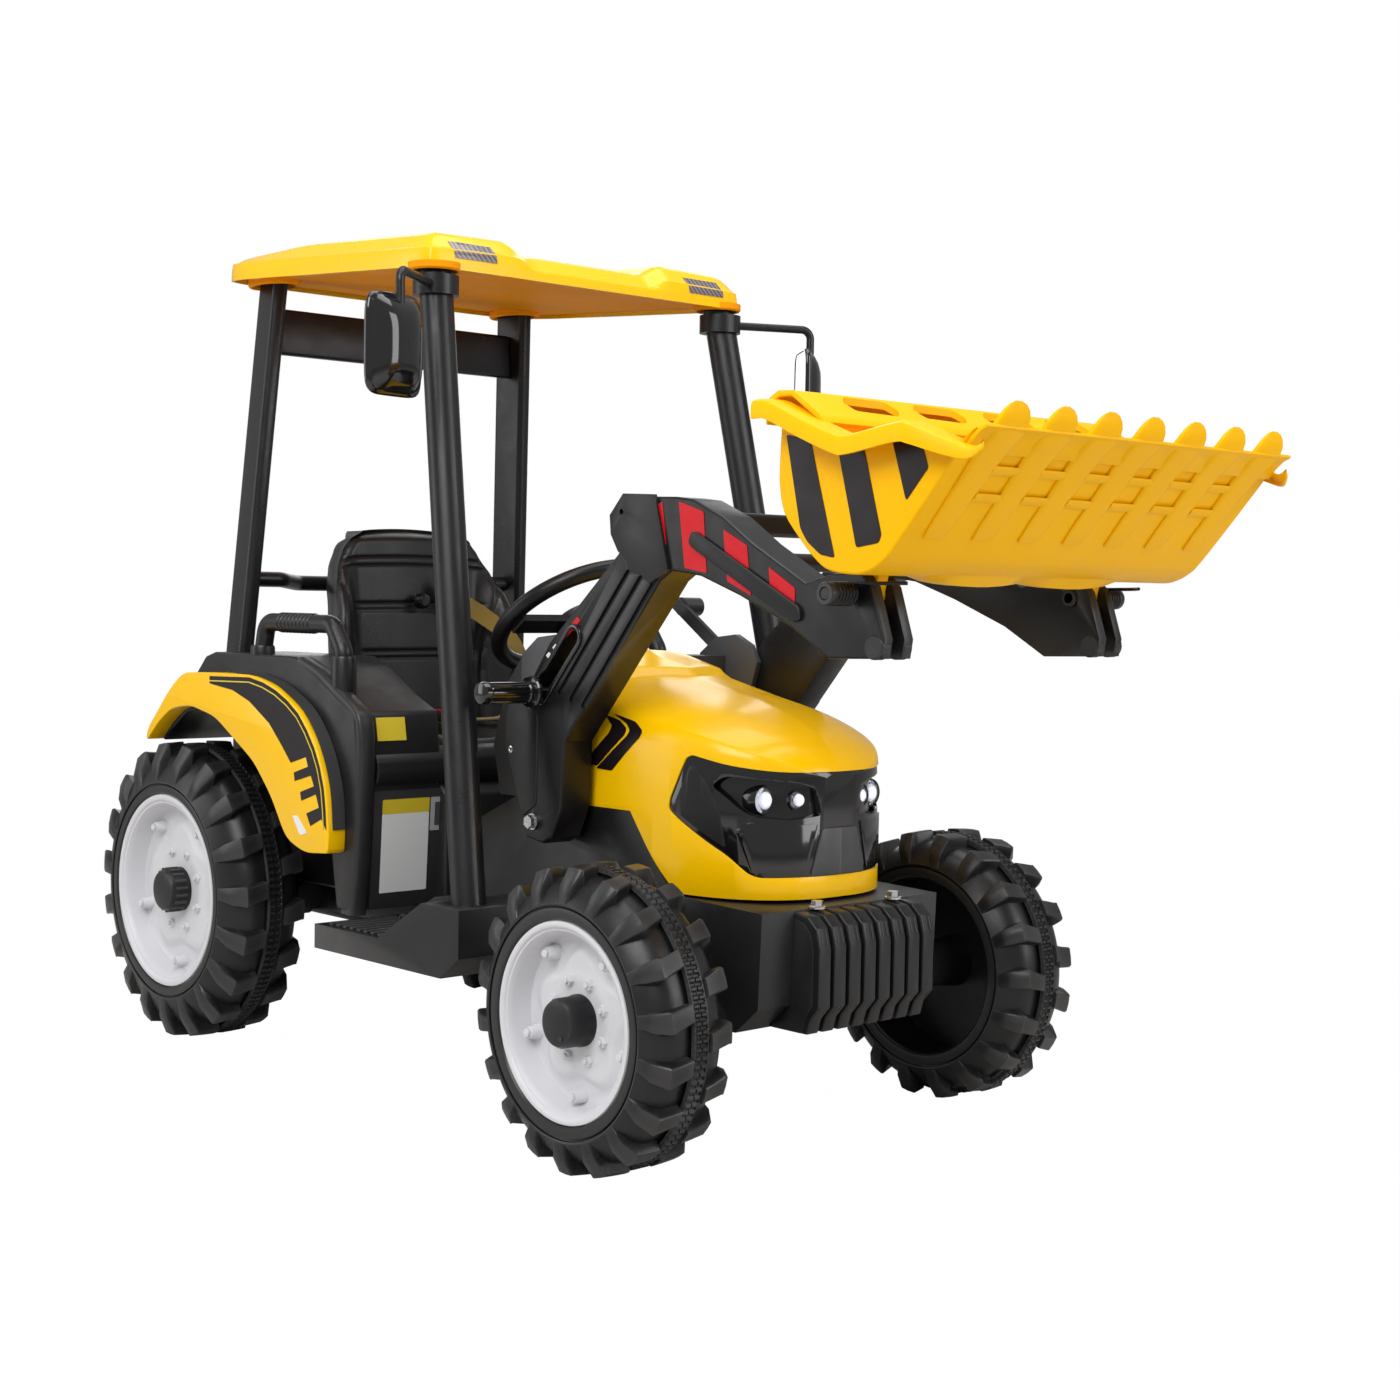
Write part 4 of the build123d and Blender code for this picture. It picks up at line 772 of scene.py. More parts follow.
def front_panel():
    """Gloss black mask: side wings, a brow, sunk lamp bays and a raised lower plate."""
    window = prism("window", rounded_outline(in_metres(MASK_SIDE), 0.010), -0.2, 0.2)
    skin = combined(combined(nose_form(1.4, False), nose_form(9.0, False)), window, "INTERSECT")
    meshes = []
    deep = combined(combined(nose_form(10.0, False), nose_form(16.0, False)), window, "INTERSECT")
    for side in (-1, 1):
        bay = [(side * y * MM, z * MM) for y, z in ((26, 350), (34, 378), (52, 384), (112, 391), (118, 380),
                                                    (103, 356), (94, 349), (60, 346))]
        hole = prism("bay", rounded_outline(bay, 0.005), 0.20, 0.40, "X")
        skin = combined(skin, hole)
    meshes.append(bevelled(skin, 0.0008, 2, 40.0))
    meshes.append(deep)
    plate = in_metres([(-40, 287), (-26, 336), (26, 336), (40, 287)])
    plate = prism("plate", rounded_outline(plate, 0.004), 0.2, 0.4, "X")
    raised = combined(nose_form(-1.6, False), nose_form(4.0, False))
    emblem = bevelled(combined(raised, plate, "INTERSECT"), 0.001, 2, 40.0)
    wing = combined(nose_form(0.9, False), nose_form(3.0, False))
    for side in (-1, 1):
        low = [(side * y * MM, z * MM) for y, z in ((46, 290), (32, 342), (62, 340), (98, 344), (106, 336),
                                                    (96, 290))]
        low_plate = prism("low", rounded_outline(low, 0.004), 0.2, 0.4, "X")
        raised_low = combined(nose_form(-0.6, False), nose_form(4.0, False))
        meshes.append(bevelled(combined(raised_low, low_plate, "INTERSECT"), 0.001, 2, 40.0))
        panel = in_metres([(236, 352), (238, 362), (256, 400), (262, 400), (276, 384), (290, 356),
                           (298, 316)])
        panel_prism = prism("panel", rounded_outline(panel, 0.004), side * 0.05, side * 0.2)
        cut = bevelled(combined(wing, panel_prism, "INTERSECT"), 0.0006, 2, 40.0)
        piece("mask_wing_" + ("left" if side > 0 else "right"), cut, MATT_BLACK, "chassis",
              (), 30.0)
    piece("mask_panel", joined("mask", meshes), GLOSS_BLACK, "chassis", ["front_mask"], 30.0)
    piece("emblem_plate", emblem, DARK_GREY, "chassis", (), 30.0)


def lamps():
    """Each lamp: chromed bowl, glass dome and a thin black bezel."""
    bowls, domes, bezels = [], [], []
    for side in (-1, 1):
        for x, y, r in LAMP_PLACES:
            centre = (0, side * y * MM, LAMP_HEIGHT * MM)
            front, rad = x * MM, r * MM
            bowls.append(lathe("bowl", [(0, front - 0.013), (rad * 0.45, front - 0.012),
                                        (rad * 0.8, front - 0.007),
                                        (rad * 0.98, front - 0.001), (rad * 1.02, front - 0.001),
                                        (rad * 0.85, front - 0.010), (0, front - 0.016)], 40, "X", centre,
                               False))
            dome = [(rad * 0.96 * math.cos(a), front - 0.001 + 0.0065 * math.sin(a))
                    for a in (math.pi / 2 * i / 8 for i in range(9))]
            domes.append(lathe("dome", dome[::-1] + [(0, front - 0.002)], 40, "X", centre, False))
            bezels.append(lathe("bezel", [(rad * 0.96, front - 0.016), (rad * 0.97, front + 0.0005),
                                          (rad * 1.08, front + 0.002), (rad * 1.16, front - 0.001),
                                          (rad * 1.16, front - 0.016)], 40, "X", centre))
    piece("lamp_bowls", joined("bowls", bowls), CHROME, "chassis")
    piece("lamp_domes", joined("domes", domes), LENS, "chassis", ["headlights"])
    piece("lamp_bezels", joined("bezels", bezels), GLOSS_BLACK, "chassis")


CHEVRONS = ([(118, 446), (144, 441), (158, 433), (156, 426), (114, 390), (91, 391), (131, 427), (134, 435)],
            [(130, 448), (168, 441), (183, 432), (181, 425), (138, 386), (112, 387), (159, 424), (164, 431),
             (156, 438)])


def hood_decals(shell):
    surface = BVHTree.FromObject(shell, bpy.context.evaluated_depsgraph_get())
    for side_name, side in SIDES:
        for index, outline in enumerate(CHEVRONS):
            decal(f"chevron_{side_name}_{index}", rounded_outline(in_metres(outline), 0.003), surface,
                  (0, -side, 0), BLACK_FILM, "chassis")


hood_shell = hood()
front_panel()
lamps()
hood_decals(hood_shell)


# ---------------------------------------------------------------- roof
ROOF_FRONT, ROOF_REAR, ROOF_HALF_W = -0.057, -0.520, 0.243
ROOF_LOW_FRONT, ROOF_LOW_REAR = 0.938, 0.966


def roof_low(x):
    share = (x - ROOF_REAR) / (ROOF_FRONT - ROOF_REAR)
    return ROOF_LOW_REAR + (ROOF_LOW_FRONT - ROOF_LOW_REAR) * share


def roof_height(inset_x, inset_y, x, y):
    """Height over the lower edge: rounded shoulder, crowned top, lower between the front corners."""
    depth = min(inset_x, inset_y)
    shoulder = 0.022 * eased(depth, -0.002, 0.0035) + 0.019 * eased(depth, 0.002, 0.030)
    rear_fall = 0.010 * (1 - eased(x, ROOF_REAR, ROOF_REAR + 0.20))
    dip = 0.014 * eased(x, ROOF_FRONT - 0.19, ROOF_FRONT - 0.06) * (1 - eased(abs(y), 0.088, 0.122))
    crown = 0.003 * (1 - (y / ROOF_HALF_W) ** 2)
    return shoulder - rear_fall * eased(depth, 0.0, 0.03) - dip * eased(depth, -0.001, 0.004) + crown


def roof_skin():
    near = [0, 0.0004, 0.0015, 0.003, 0.006, 0.010, 0.015, 0.021, 0.028, 0.036]
    length, width = ROOF_FRONT - ROOF_REAR, ROOF_HALF_W * 2
    far_along = [length - n for n in reversed(near)]
    far_across = [width - n for n in reversed(near)]
    along = near + [0.036 + (length - 0.072) * i / 40 for i in range(1, 40)] + far_along
    across = near + [0.036 + (width - 0.072) * i / 44 for i in range(1, 44)] + far_across
    rows = []
    for a in along:
        row = []
        for b in across:
            x, y = ROOF_REAR + a, -ROOF_HALF_W + b
            inset_x, inset_y = min(a, length - a), min(b, width - b)
            u, v = (x - (ROOF_FRONT + ROOF_REAR) / 2) / (length / 2), y / ROOF_HALF_W
            power, rounding = (10, 0.055) if u < 0 else (14, 0.03)
            px = x - u * length / 2 * rounding * abs(v) ** power
            py = y - v * ROOF_HALF_W * rounding * abs(u) ** power
            z = roof_low(x) + roof_height(inset_x, inset_y, x, y)
            if min(inset_x, inset_y) == 0:
                z = roof_low(x)
            row.append((px, py, z))
        rows.append(row)
    top = skinned("roof", rows)
    shell = changed(top, ("SOLIDIFY", {"thickness": 0.0038, "offset": -1.0}))
    roof = piece("roof_shell", shell, BRIGHT_YELLOW, "chassis", ["roof"], 35.0)
    return roof


def roof_painted_light_sheet():
    """Amber lower skin with a raised rim round each post; the amber is painted light, the orange of light
    that shines through and bounces under the yellow roof.
    """
    inset = 0.007
    outline = [(ROOF_REAR + 0.045, -ROOF_HALF_W + inset), (ROOF_FRONT - 0.02, -ROOF_HALF_W + inset),
               (ROOF_FRONT - inset, -ROOF_HALF_W + 0.022), (ROOF_FRONT - inset, ROOF_HALF_W - 0.022),
               (ROOF_FRONT - 0.02, ROOF_HALF_W - inset), (ROOF_REAR + 0.045, ROOF_HALF_W - inset),
               (ROOF_REAR + inset, ROOF_HALF_W - 0.045), (ROOF_REAR + inset, -ROOF_HALF_W + 0.045)]
    bm = bmesh.new()
    bm.faces.new([bm.verts.new((x, y, roof_low(x) + 0.007)) for x, y in outline])
    bmesh.ops.recalc_face_normals(bm, faces=bm.faces)
    sheet = bpy.data.meshes.new("painted_light_sheet")
    bm.to_mesh(sheet)
    bm.free()
    sheet = changed(sheet, ("SOLIDIFY", {"thickness": 0.003, "offset": 0.0}))
    parts = [sheet]
    rings = []
    for side in (-1, 1):
        for x, y, rx, ry in ((-0.468, 0.191, 0.046, 0.026), (-0.082, 0.217, 0.030, 0.030)):
            z = roof_low(x)
            rows = []
            for step in range(48):
                a = 2 * math.pi * step / 48
                section = [(1.0, 0.006), (1.0, -0.001), (0.94, -0.003), (0.84, -0.003), (0.80, 0.0),
                           (0.80, 0.006)]
                rows.append([(x + rx * s * math.cos(a), side * y + ry * s * math.sin(a), z + dz) for s,
                             dz in section])
            rows.append(rows[0])
            rings.append(skinned("ring", rows, True))
    piece("roof_painted_light_sheet", joined("painted_light_sheet", parts + rings), PAINTED_UNDERSIDE_ORANGE_SIDE, "chassis", (), 30.0)


def roof_decals(roof):
    surface = BVHTree.FromObject(roof, bpy.context.evaluated_depsgraph_get())
    for side_name, side in SIDES:
        ys = (side * 0.148, side * 0.206)
        outline = [(ys[0], 0.951), (ys[1], 0.951), (ys[1], 0.971), (ys[0], 0.971)]
        decal("roof_reflector_" + side_name, outline, surface, (-1, 0, 0), HATCHED_FILM, "chassis",
              "X",
              0.004, 0.0006)


roof_top = roof_skin()
roof_painted_light_sheet()
roof_decals(roof_top)


# ---------------------------------------------------------------- bucket
BUCKET_Y = 0.236
TUB_LINE = [(495, 752), (492, 700), (493, 676), (500, 653), (520, 630), (542, 610), (560, 601), (590, 598),
            (607, 601), (621, 608), (634, 619), (674, 664), (716, 713), (724, 722)]


def tub_outline(inset, top):
    """Side outline of the tub, moved inwards by the wall and closed at the top."""
    line = smooth_line(TUB_LINE, 3)
    out = []
    for index, point in enumerate(line):
        before, after = line[max(0, index - 1)], line[min(len(line) - 1, index + 1)]
        along = (after - before).normalized()
        out.append(((point.x - along.y * inset) * MM, (point.y + along.x * inset) * MM))
    return [(out[0][0], top * MM)] + out + [(out[-1][0], top * MM)]


def tub():
    wall = 4.5
    outer = bevelled(prism("tub", tub_outline(0, 790), -BUCKET_Y, BUCKET_Y), 0.009, 4, 60.0)
    inner = bevelled(prism("room", tub_outline(wall, 800), -BUCKET_Y + wall * MM, BUCKET_Y - wall * MM),
                     0.006, 3, 60.0)
    shell = combined(outer, inner)
    above = in_metres([(470, 757), (500, 753), (585, 722), (661, 731), (712, 712), (724, 722), (800, 722),
                       (800, 900),
                       (470, 900)])
    return combined(shell, prism("above", above, -0.3, 0.3))


def side_flange(side):
    """Rim beside the tub: a ledge that zigzags along the side and turns down at its edge."""
    path = smooth_line([(480, 759, 1.0), (500, 757, 1.0), (540, 740, 1.0), (582, 724, 1.0), (600, 722, 1.0),
                        (655, 730, 1.0), (672, 728, 1.0), (700, 716, 0.75), (722, 707, 0.40),
                        (732, 712, 0.10)], 5)
    rows = []
    for x, z, share in path:
        y0 = BUCKET_Y - 0.004
        reach = 0.0295 * share
        drop = 0.019 * (0.35 + 0.65 * share)
        section = [(0, 0), (reach - 0.006, -0.001), (reach - 0.002, -0.003), (reach, -0.007),
                   (reach, -drop),
                   (reach - 0.0035, -drop), (reach - 0.0035, -0.008), (reach - 0.007, -0.005), (0, -0.0045)]
        rows.append([(x * MM, side * (y0 + max(0.0, dy)), z * MM + dz) for dy, dz in section])
    return skinned("flange", rows, True, True)


def back_flange():
    """Broad ledge behind the tub with four long slots, turned down at its edge."""
    section = in_metres([(552, 735), (546, 743), (512, 766), (492, 767), (481, 761), (477, 750), (477, 736),
                         (481, 736),
                         (482, 750), (487, 757), (494, 761), (509, 761), (542, 739), (546, 732)])
    ledge = bevelled(prism("ledge", section, -BUCKET_Y - 0.003, BUCKET_Y + 0.003), 0.0012, 2, 30.0)
    for middle in (-0.150, -0.052, 0.052, 0.150):
        slot = [(0.515, middle - 0.026), (0.524, middle - 0.036), (0.536, middle - 0.030),
                (0.538, middle + 0.026),
                (0.529, middle + 0.036), (0.516, middle + 0.030)]
        ledge = combined(ledge, prism("slot", rounded_outline(slot, 0.004), 0.70, 0.80, "Z"))
    return ledge


def tooth(middle):
    """One claw: a rib that rises out of the underside and ends in a rounded tip."""
    rows = []
    line = [(646, 632, -0.5, 13.0), (660, 648, 2.0, 15.0), (684, 675, 3.5, 17.0), (706, 700, 4.5, 19.0),
            (718, 711, 5.0, 20.5), (727, 719, 5.5, 21.5), (733, 726, 6.0, 21.0), (736.5, 733, 6.0, 19.0),
            (738.5, 739, 5.5, 15.5), (739.5, 743.5, 5.0, 10.5), (739.6, 746, 4.0, 4.0)]
    for index, (x, z, rise, half) in enumerate(line):
        after = line[min(index + 1, len(line) - 1)]
        before = line[max(index - 1, 0)]
        along = Vector((after[0] - before[0], after[1] - before[1])).normalized()
        out = Vector((along.y, -along.x))
        thick = 6.0 if index < 5 else max(2.0, 7.0 - 0.8 * (index - 4))
        row = []
        for y, h in ((-1.0, -thick), (-1.0, -0.2 * rise), (-0.88, 0.12 * rise), (-0.62, 0.2 * rise),
                     (0.0, 0.24 * rise),
                     (0.62, 0.2 * rise), (0.88, 0.12 * rise), (1.0, -0.2 * rise), (1.0, -thick)):
            px, pz = x + out.x * (h + 2.0), z + out.y * (h + 2.0)
            row.append((min(px, 740.3) * MM, middle + y * half * MM, pz * MM))
        rows.append(row)
    return bevelled(skinned("tooth", rows, True, True), 0.0016, 3, 35.0)


def bucket():
    meshes = [bevelled(tub(), 0.0008, 2, 60.0), back_flange()]
    for side in (-1, 1):
        meshes.append(side_flange(side))
        mid = side * 0.162
        ear = in_metres([(519, 612), (532, 571), (540, 567), (552, 573), (562, 612)])
        meshes.append(bevelled(prism("ear", ear, mid - 0.0074, mid + 0.0074), 0.002, 2))
        eye = lathe("eye", [(0.0066, mid - 0.0074), (0.0135, mid - 0.0074), (0.014, mid),
                            (0.0135, mid + 0.0074),
                            (0.0066, mid + 0.0074)], 40, "Y", (0.540, 0, 0.581))
        meshes.append(eye)
        meshes.append(rod((0.556, mid + side * 0.004, 0.600), (0.536, mid + side * 0.030, 0.610), 0.003,
                          12))
    lip = in_metres([(708, 704), (718, 716), (729, 724), (735.5, 725.5), (736.5, 722.5), (729, 719),
                     (720, 711.5),
                     (712, 702)])
    meshes.append(bevelled(prism("lip", lip, -BUCKET_Y + 0.003, BUCKET_Y - 0.003), 0.0010, 2))
    for index in range(7):
        meshes.append(tooth((index - 3) * 0.0655))
    # shallow ledges between the ribs, in two rows
    for index in range(6):
        middle = (index - 2.5) * 0.0655
        for x, z in ((700, 692), (680, 669)):
            ledge = [(middle - 0.017, x - 5), (middle + 0.018, x - 1), (middle + 0.016, x + 2),
                     (middle - 0.016, x + 2)]
            low = [(x * MM - 0.0052, y, z * MM - 0.0060) for y, _ in ledge]
            high = [(x * MM + 0.0030, y, z * MM + 0.0012) for y, _ in ledge]
            rise = [(x * MM + 0.0004, y, z * MM - 0.0030) for y, _ in ledge]
            meshes.append(mesh_of("ledge", [low[0], low[1], high[1], high[0], rise[1], rise[0]],
                                  [(0, 1, 4, 5), (5, 4, 2, 3), (0, 5, 3), (1, 2, 4)]))
    # two smooth bulges where the tub sits on its hinge line
    for middle in (-0.07, 0.07):
        rows = []
        for step in range(9):
            t = step / 8
            y = middle - 0.075 + 0.15 * t
            depth = 0.008 * math.sin(math.pi * t) ** 0.6
            rows.append([(0.556, y, 0.603), (0.570, y, 0.5985 - depth), (0.592, y, 0.5975 - depth),
                         (0.606, y, 0.602)])
        meshes.append(skinned("bulge", rows, True, True))
    return piece("bucket_shell", joined("bucket", meshes), BUCKET_YELLOW, "bucket",
                 ["bucket"], 32.0)


BUCKET_STRIPES = ([(502, 726), (533, 720), (566, 613), (548, 616), (531, 628), (522, 640)],
                  [(567, 712), (598, 714), (622, 633), (619, 626), (592, 622)],
                  [(632, 717), (665, 716), (675, 690), (650, 662)])


def bucket_decals():
    for side_name, side in SIDES:
        for index, outline in enumerate(BUCKET_STRIPES):
            flat = [(x * MM, z * MM) for x, z in outline]
            bm = bmesh.new()
            y = side * (BUCKET_Y + 0.0004)
            bm.faces.new([bm.verts.new((x, y, z)) for x, z in rounded_outline(flat, 0.003)])
            mesh = bpy.data.meshes.new("stripe")
            bm.to_mesh(mesh)
            bm.free()
            mesh = changed(mesh, ("SOLIDIFY", {"thickness": 0.0005, "offset": 0.0}))
            piece(f"bucket_stripe_{side_name}_{index}", mesh, BLACK_FILM, "bucket")


bucket()
bucket_decals()


# ---------------------------------------------------------------- loader arms
ARM_FACE = 0.182
BANDS = ([(258, 668), (271, 672), (278, 628), (262, 644), (266, 656)],
         [(296, 672), (333, 661), (339, 600), (306, 605)],
         [(362, 643), (396, 627), (403, 578), (369, 592)],
         [(427, 606), (463, 586), (463, 556), (431, 570)])


def flat_film(name, outline, y, material, body, rounding=0.0015):
    bm = bmesh.new()
    points = rounded_outline([(x * MM, z * MM) for x, z in outline], rounding)
    bm.faces.new([bm.verts.new((x, y, z)) for x, z in points])
    mesh = bpy.data.meshes.new(name)
    bm.to_mesh(mesh)
    bm.free()
    mesh = changed(mesh, ("SOLIDIFY", {"thickness": 0.0004, "offset": 0.0}))
    return piece(name, mesh, material, body)


def arm_trim():
    for side_name, side in SIDES:
        y = side * (ARM_FACE + 0.0004)
        for index, outline in enumerate(BANDS):
            flat_film(f"boom_band_{side_name}_{index}", outline, y, RED_FILM, "loader")
        bar = in_metres([(313, 630), (318, 641), (325, 641), (472, 568), (474, 556), (462, 553),
                         (322, 624)])
        low, high = sorted((side * (ARM_FACE - 0.001), side * (ARM_FACE + 0.0042)))
        raised = bevelled(prism("bar", rounded_outline(bar, 0.005), low, high), 0.0016, 3)
        piece("boom_bar_" + side_name, raised, SATIN_BLACK, "loader")
        for index, (a, b) in enumerate((((112, 533), (137, 553)), ((95, 519), (100, 523)),
                                        ((84, 510), (89, 514)))):
            dash = [a, b, (b[0] + 5, b[1] - 4), (a[0] + 5, a[1] - 4)]
            flat_film(f"arm_dash_{side_name}_{index}", dash, y, RED_FILM if index == 0 else WHITE_FILM,
                      "loader",
                      0.0004)
        if side < 0:
            ear = in_metres([(46, 330), (18, 395), (12, 420), (14, 446), (30, 468), (58, 474), (72, 440),
                             (70, 345)])
            guard = bevelled(prism("guard", rounded_outline(ear, 0.006), -0.1835, -0.150), 0.003, 3)
            piece("slot_guard", joined("guard", [guard]), SATIN_BLACK, "loader")
            screw = lathe("screw", [(0, ARM_FACE * side), (0.0042, ARM_FACE * side),
                                    (0.0040, side * (ARM_FACE + 0.0016)),
                                    (0.0022, side * (ARM_FACE + 0.0022)),
                                    (0.0012, side * (ARM_FACE + 0.0010)),
                                    (0, side * (ARM_FACE + 0.0010))], 20, "Y", (0.024, 0, 0.404), False)
            piece("guard_screw", turned(screw, 0.0), STEEL, "loader")


def slot_rim():
    """Raised gloss rim round the tilt handle's slot on the right arm."""
    (xa, za), (xb, zb) = (0.076, 0.470), (0.131, 0.531)
    along = Vector((xb - xa, zb - za))
    length = along.length
    along.normalize()
    normal = Vector((-along.y, along.x))
    rows = []
    for step in range(64):
        t = step / 64
        a = 2 * math.pi * t
        section = []
        for reach, y in ((0.0088, 0.1800), (0.0090, 0.1846), (0.0102, 0.1856), (0.0128, 0.1856),
                         (0.0142, 0.1846),
                         (0.0146, 0.1812)):
            dx, dn = math.cos(a) * reach, math.sin(a) * reach
            shift = length if math.cos(a) > 0 else 0.0
            x = xa + along.x * (shift + dx) + normal.x * dn
            z = za + along.y * (shift + dx) + normal.y * dn
            section.append((x, -y, z))
        rows.append(section)
    rows.append(rows[0])
    piece("slot_rim", skinned("rim", rows, True), GLOSS_BLACK, "loader", (), 40.0)


def springs():
    """Torsion springs: seven turns of wire and a leg that reaches over the bucket's lug."""
    meshes = []
    for side in (-1, 1):
        points = []
        turns = 7
        for step in range(turns * 14 + 1):
            a = 2 * math.pi * step / 14
            y = side * (ARM_FACE + 0.006 + 0.0042 * step / 14)
            points.append((0.540 + 0.0098 * math.sin(a), y, 0.581 + 0.0098 * math.cos(a)))
        lead = [(0.600, side * (ARM_FACE - 0.006), 0.5915), (0.592, side * (ARM_FACE + 0.003), 0.5912),
                (0.560, side * (ARM_FACE + 0.0055), 0.5908)]
        meshes.append(tube(lead + points, 0.0018, "spring", 8, False, 3))
    piece("spring_coils", joined("springs", meshes), TUBE_BLACK, "bucket",
          ["torsion_springs"], 40.0)


PIN_X, PIN_Z = 0.540, 0.581
PIN_INNER = 0.139
HINGE_X, HINGE_Z, HINGE_R = 0.5655, 0.5325, 0.0118
HINGE_ENDS = ((0.1410, 0.1535), (0.1705, 0.1830))


def pins():
    """The bucket's pins with their sockets, and the short hinge rods in the arm's two cheeks."""
    meshes = []
    for side in (-1, 1):
        meshes.append(rod((PIN_X, side * PIN_INNER, PIN_Z), (PIN_X, side * 0.2215, PIN_Z), 0.0060, 32))
        meshes.append(rod((PIN_X, side * PIN_INNER, PIN_Z), (PIN_X, side * 0.1418, PIN_Z), 0.009, 32))
        meshes.append(lathe("socket", [(0.0064, side * 0.2130), (0.0100, side * 0.2130),
                                       (0.0108, side * 0.2140),
                                       (0.0108, side * 0.2210), (0.0100, side * 0.2222),
                                       (0.0064, side * 0.2222)],
                            32, "Y", (PIN_X, 0, PIN_Z)))
        for y0, y1 in HINGE_ENDS:
            meshes.append(rod((HINGE_X, side * y0, HINGE_Z), (HINGE_X, side * y1, HINGE_Z), HINGE_R, 32))
    piece("hinge_pins", joined("pins", meshes), SATIN_BLACK, "loader", ["bucket_pins"], 40.0)


def grip():
    """Tilt handle: fluted grip with an end cap, a hand stop and its stub in the slot."""
    x, z = 0.076, 0.470
    rows = []
    for y, r, flute in ((0.266, 0.0, 0), (0.266, 0.0085, 0), (0.2645, 0.0112, 0), (0.262, 0.0120, 0),
                        (0.2565, 0.0120, 0),
                        (0.2555, 0.0112, 0), (0.2548, 0.0112, 1), (0.206, 0.0112, 1), (0.205, 0.0112, 0),
                        (0.204, 0.0125, 0), (0.1995, 0.0125, 0), (0.1990, 0.0165, 0), (0.1975, 0.0180, 0),
                        (0.1945, 0.0180, 0), (0.1935, 0.0165, 0), (0.1930, 0.0062, 0), (0.146, 0.0060, 0),
                        (0.146, 0.0, 0)):
        row = []
        for col in range(96):
            a = 2 * math.pi * col / 96
            ridge = 0.0008 if flute and (col // 3) % 2 == 0 else 0.0
            valley = 0.0006 if flute and (col // 3) % 2 else 0.0
            rr = r + ridge - valley
            row.append((x + rr * math.cos(a), -y, z + rr * math.sin(a)))
        rows.append(row)
    piece("fluted_grip", skinned("grip", rows, True), GLOSS_BLACK, "tilt_handle",
          ["tilt_handle"], 30.0)


arm_trim()
slot_rim()
springs()
pins()
grip()


# ---------------------------------------------------------------- seat
def seat_outline(v):
    """Half width of the seat back at a share of its height, from the pan upwards."""
    points = [(0.0, 143), (0.30, 143), (0.52, 142), (0.68, 134), (0.80, 121), (0.90, 107), (0.96, 95),
              (1.0, 78)]
    for near, far in zip(points, points[1:]):
        if near[0] <= v <= far[0]:
            return (near[1] + (far[1] - near[1]) * eased(v, near[0], far[0]) * 0.35
                    + (far[1] - near[1]) * 0.65 * (v - near[0]) / (far[0] - near[0])) * MM
    return points[-1][1] * MM


GROOVES = ((0.858, 0.818), (0.626, 0.588), (0.385, 0.347))


def groove(distance, width=0.0022):
    return math.exp(-(distance / width) ** 2)


def seat_back():
    """Moulded bucket back: wrapped bolsters, a raised centre with paired grooves, piped side seams."""
    low, high, lean = 0.400, 0.655, math.tan(math.radians(5))
    ups, overs = 120, 96
    front, back = [], []
    for i in range(ups + 1):
        v = i / ups
        top_round = eased(v, 0.93, 1.0)
        half = seat_outline(v)
        front_row, back_row = [], []
        for j in range(overs + 1):
            u = -1 + 2 * j / overs
            y = u * half
            z = low + (high - low) * v + 0.005 * v * (1 - u * u)
            wing = eased(abs(y), 0.090, 0.136) * 0.040 * (1 - eased(v, 0.55, 0.98))
            x = -0.410 + wing
            edge = 1 - abs(u)
            roll = 1 - math.sqrt(max(0.0, 1 - (1 - min(1.0, edge / 0.13)) ** 2))
            x -= roll * 0.016 + top_round ** 2 * 0.022
            seam = 0.099 + 0.034 * eased(v, 0.25, 1.0) - 0.002 * v
            panel = 1 - eased(abs(y), seam - 0.006, seam + 0.001)
            x += 0.0035 * panel * (1 - top_round)
            piping = 0.0035 * groove(abs(y) - seam - 0.002, 0.0020)
            x -= piping * eased(v, 0.12, 0.16) * (1 - eased(v, 0.90, 0.94))
            for pair in GROOVES:
                for level in pair:
                    inside = 1 - eased(abs(y), seam - 0.014, seam - 0.009)
                    x -= 0.0026 * groove((v - level) * (high - low), 0.0014) * inside
            x -= (z - low) * lean
            front_row.append((x, y, z))
            thick = 0.042 + 0.012 * (1 - u * u) - 0.018 * top_round
            bulge = thick * math.sqrt(max(0.0, min(1.0, edge / 0.10 + 0.02))) * (1 - 0.5 * top_round)
            back_x = -0.410 - bulge - (z - low) * lean
            back_row.append((max(back_x + wing * 0.75, -0.520), y, z))
        front.append(front_row)
        back.append(back_row)
    rows = []
    for front_row, back_row in zip(front, back):
        rows.append(front_row + back_row[::-1])
    mesh = skinned("seat", rows, True, True)
    piece("seat_back_shell", mesh, SEAT_BLACK, "chassis", ["seat_back"], 60.0)


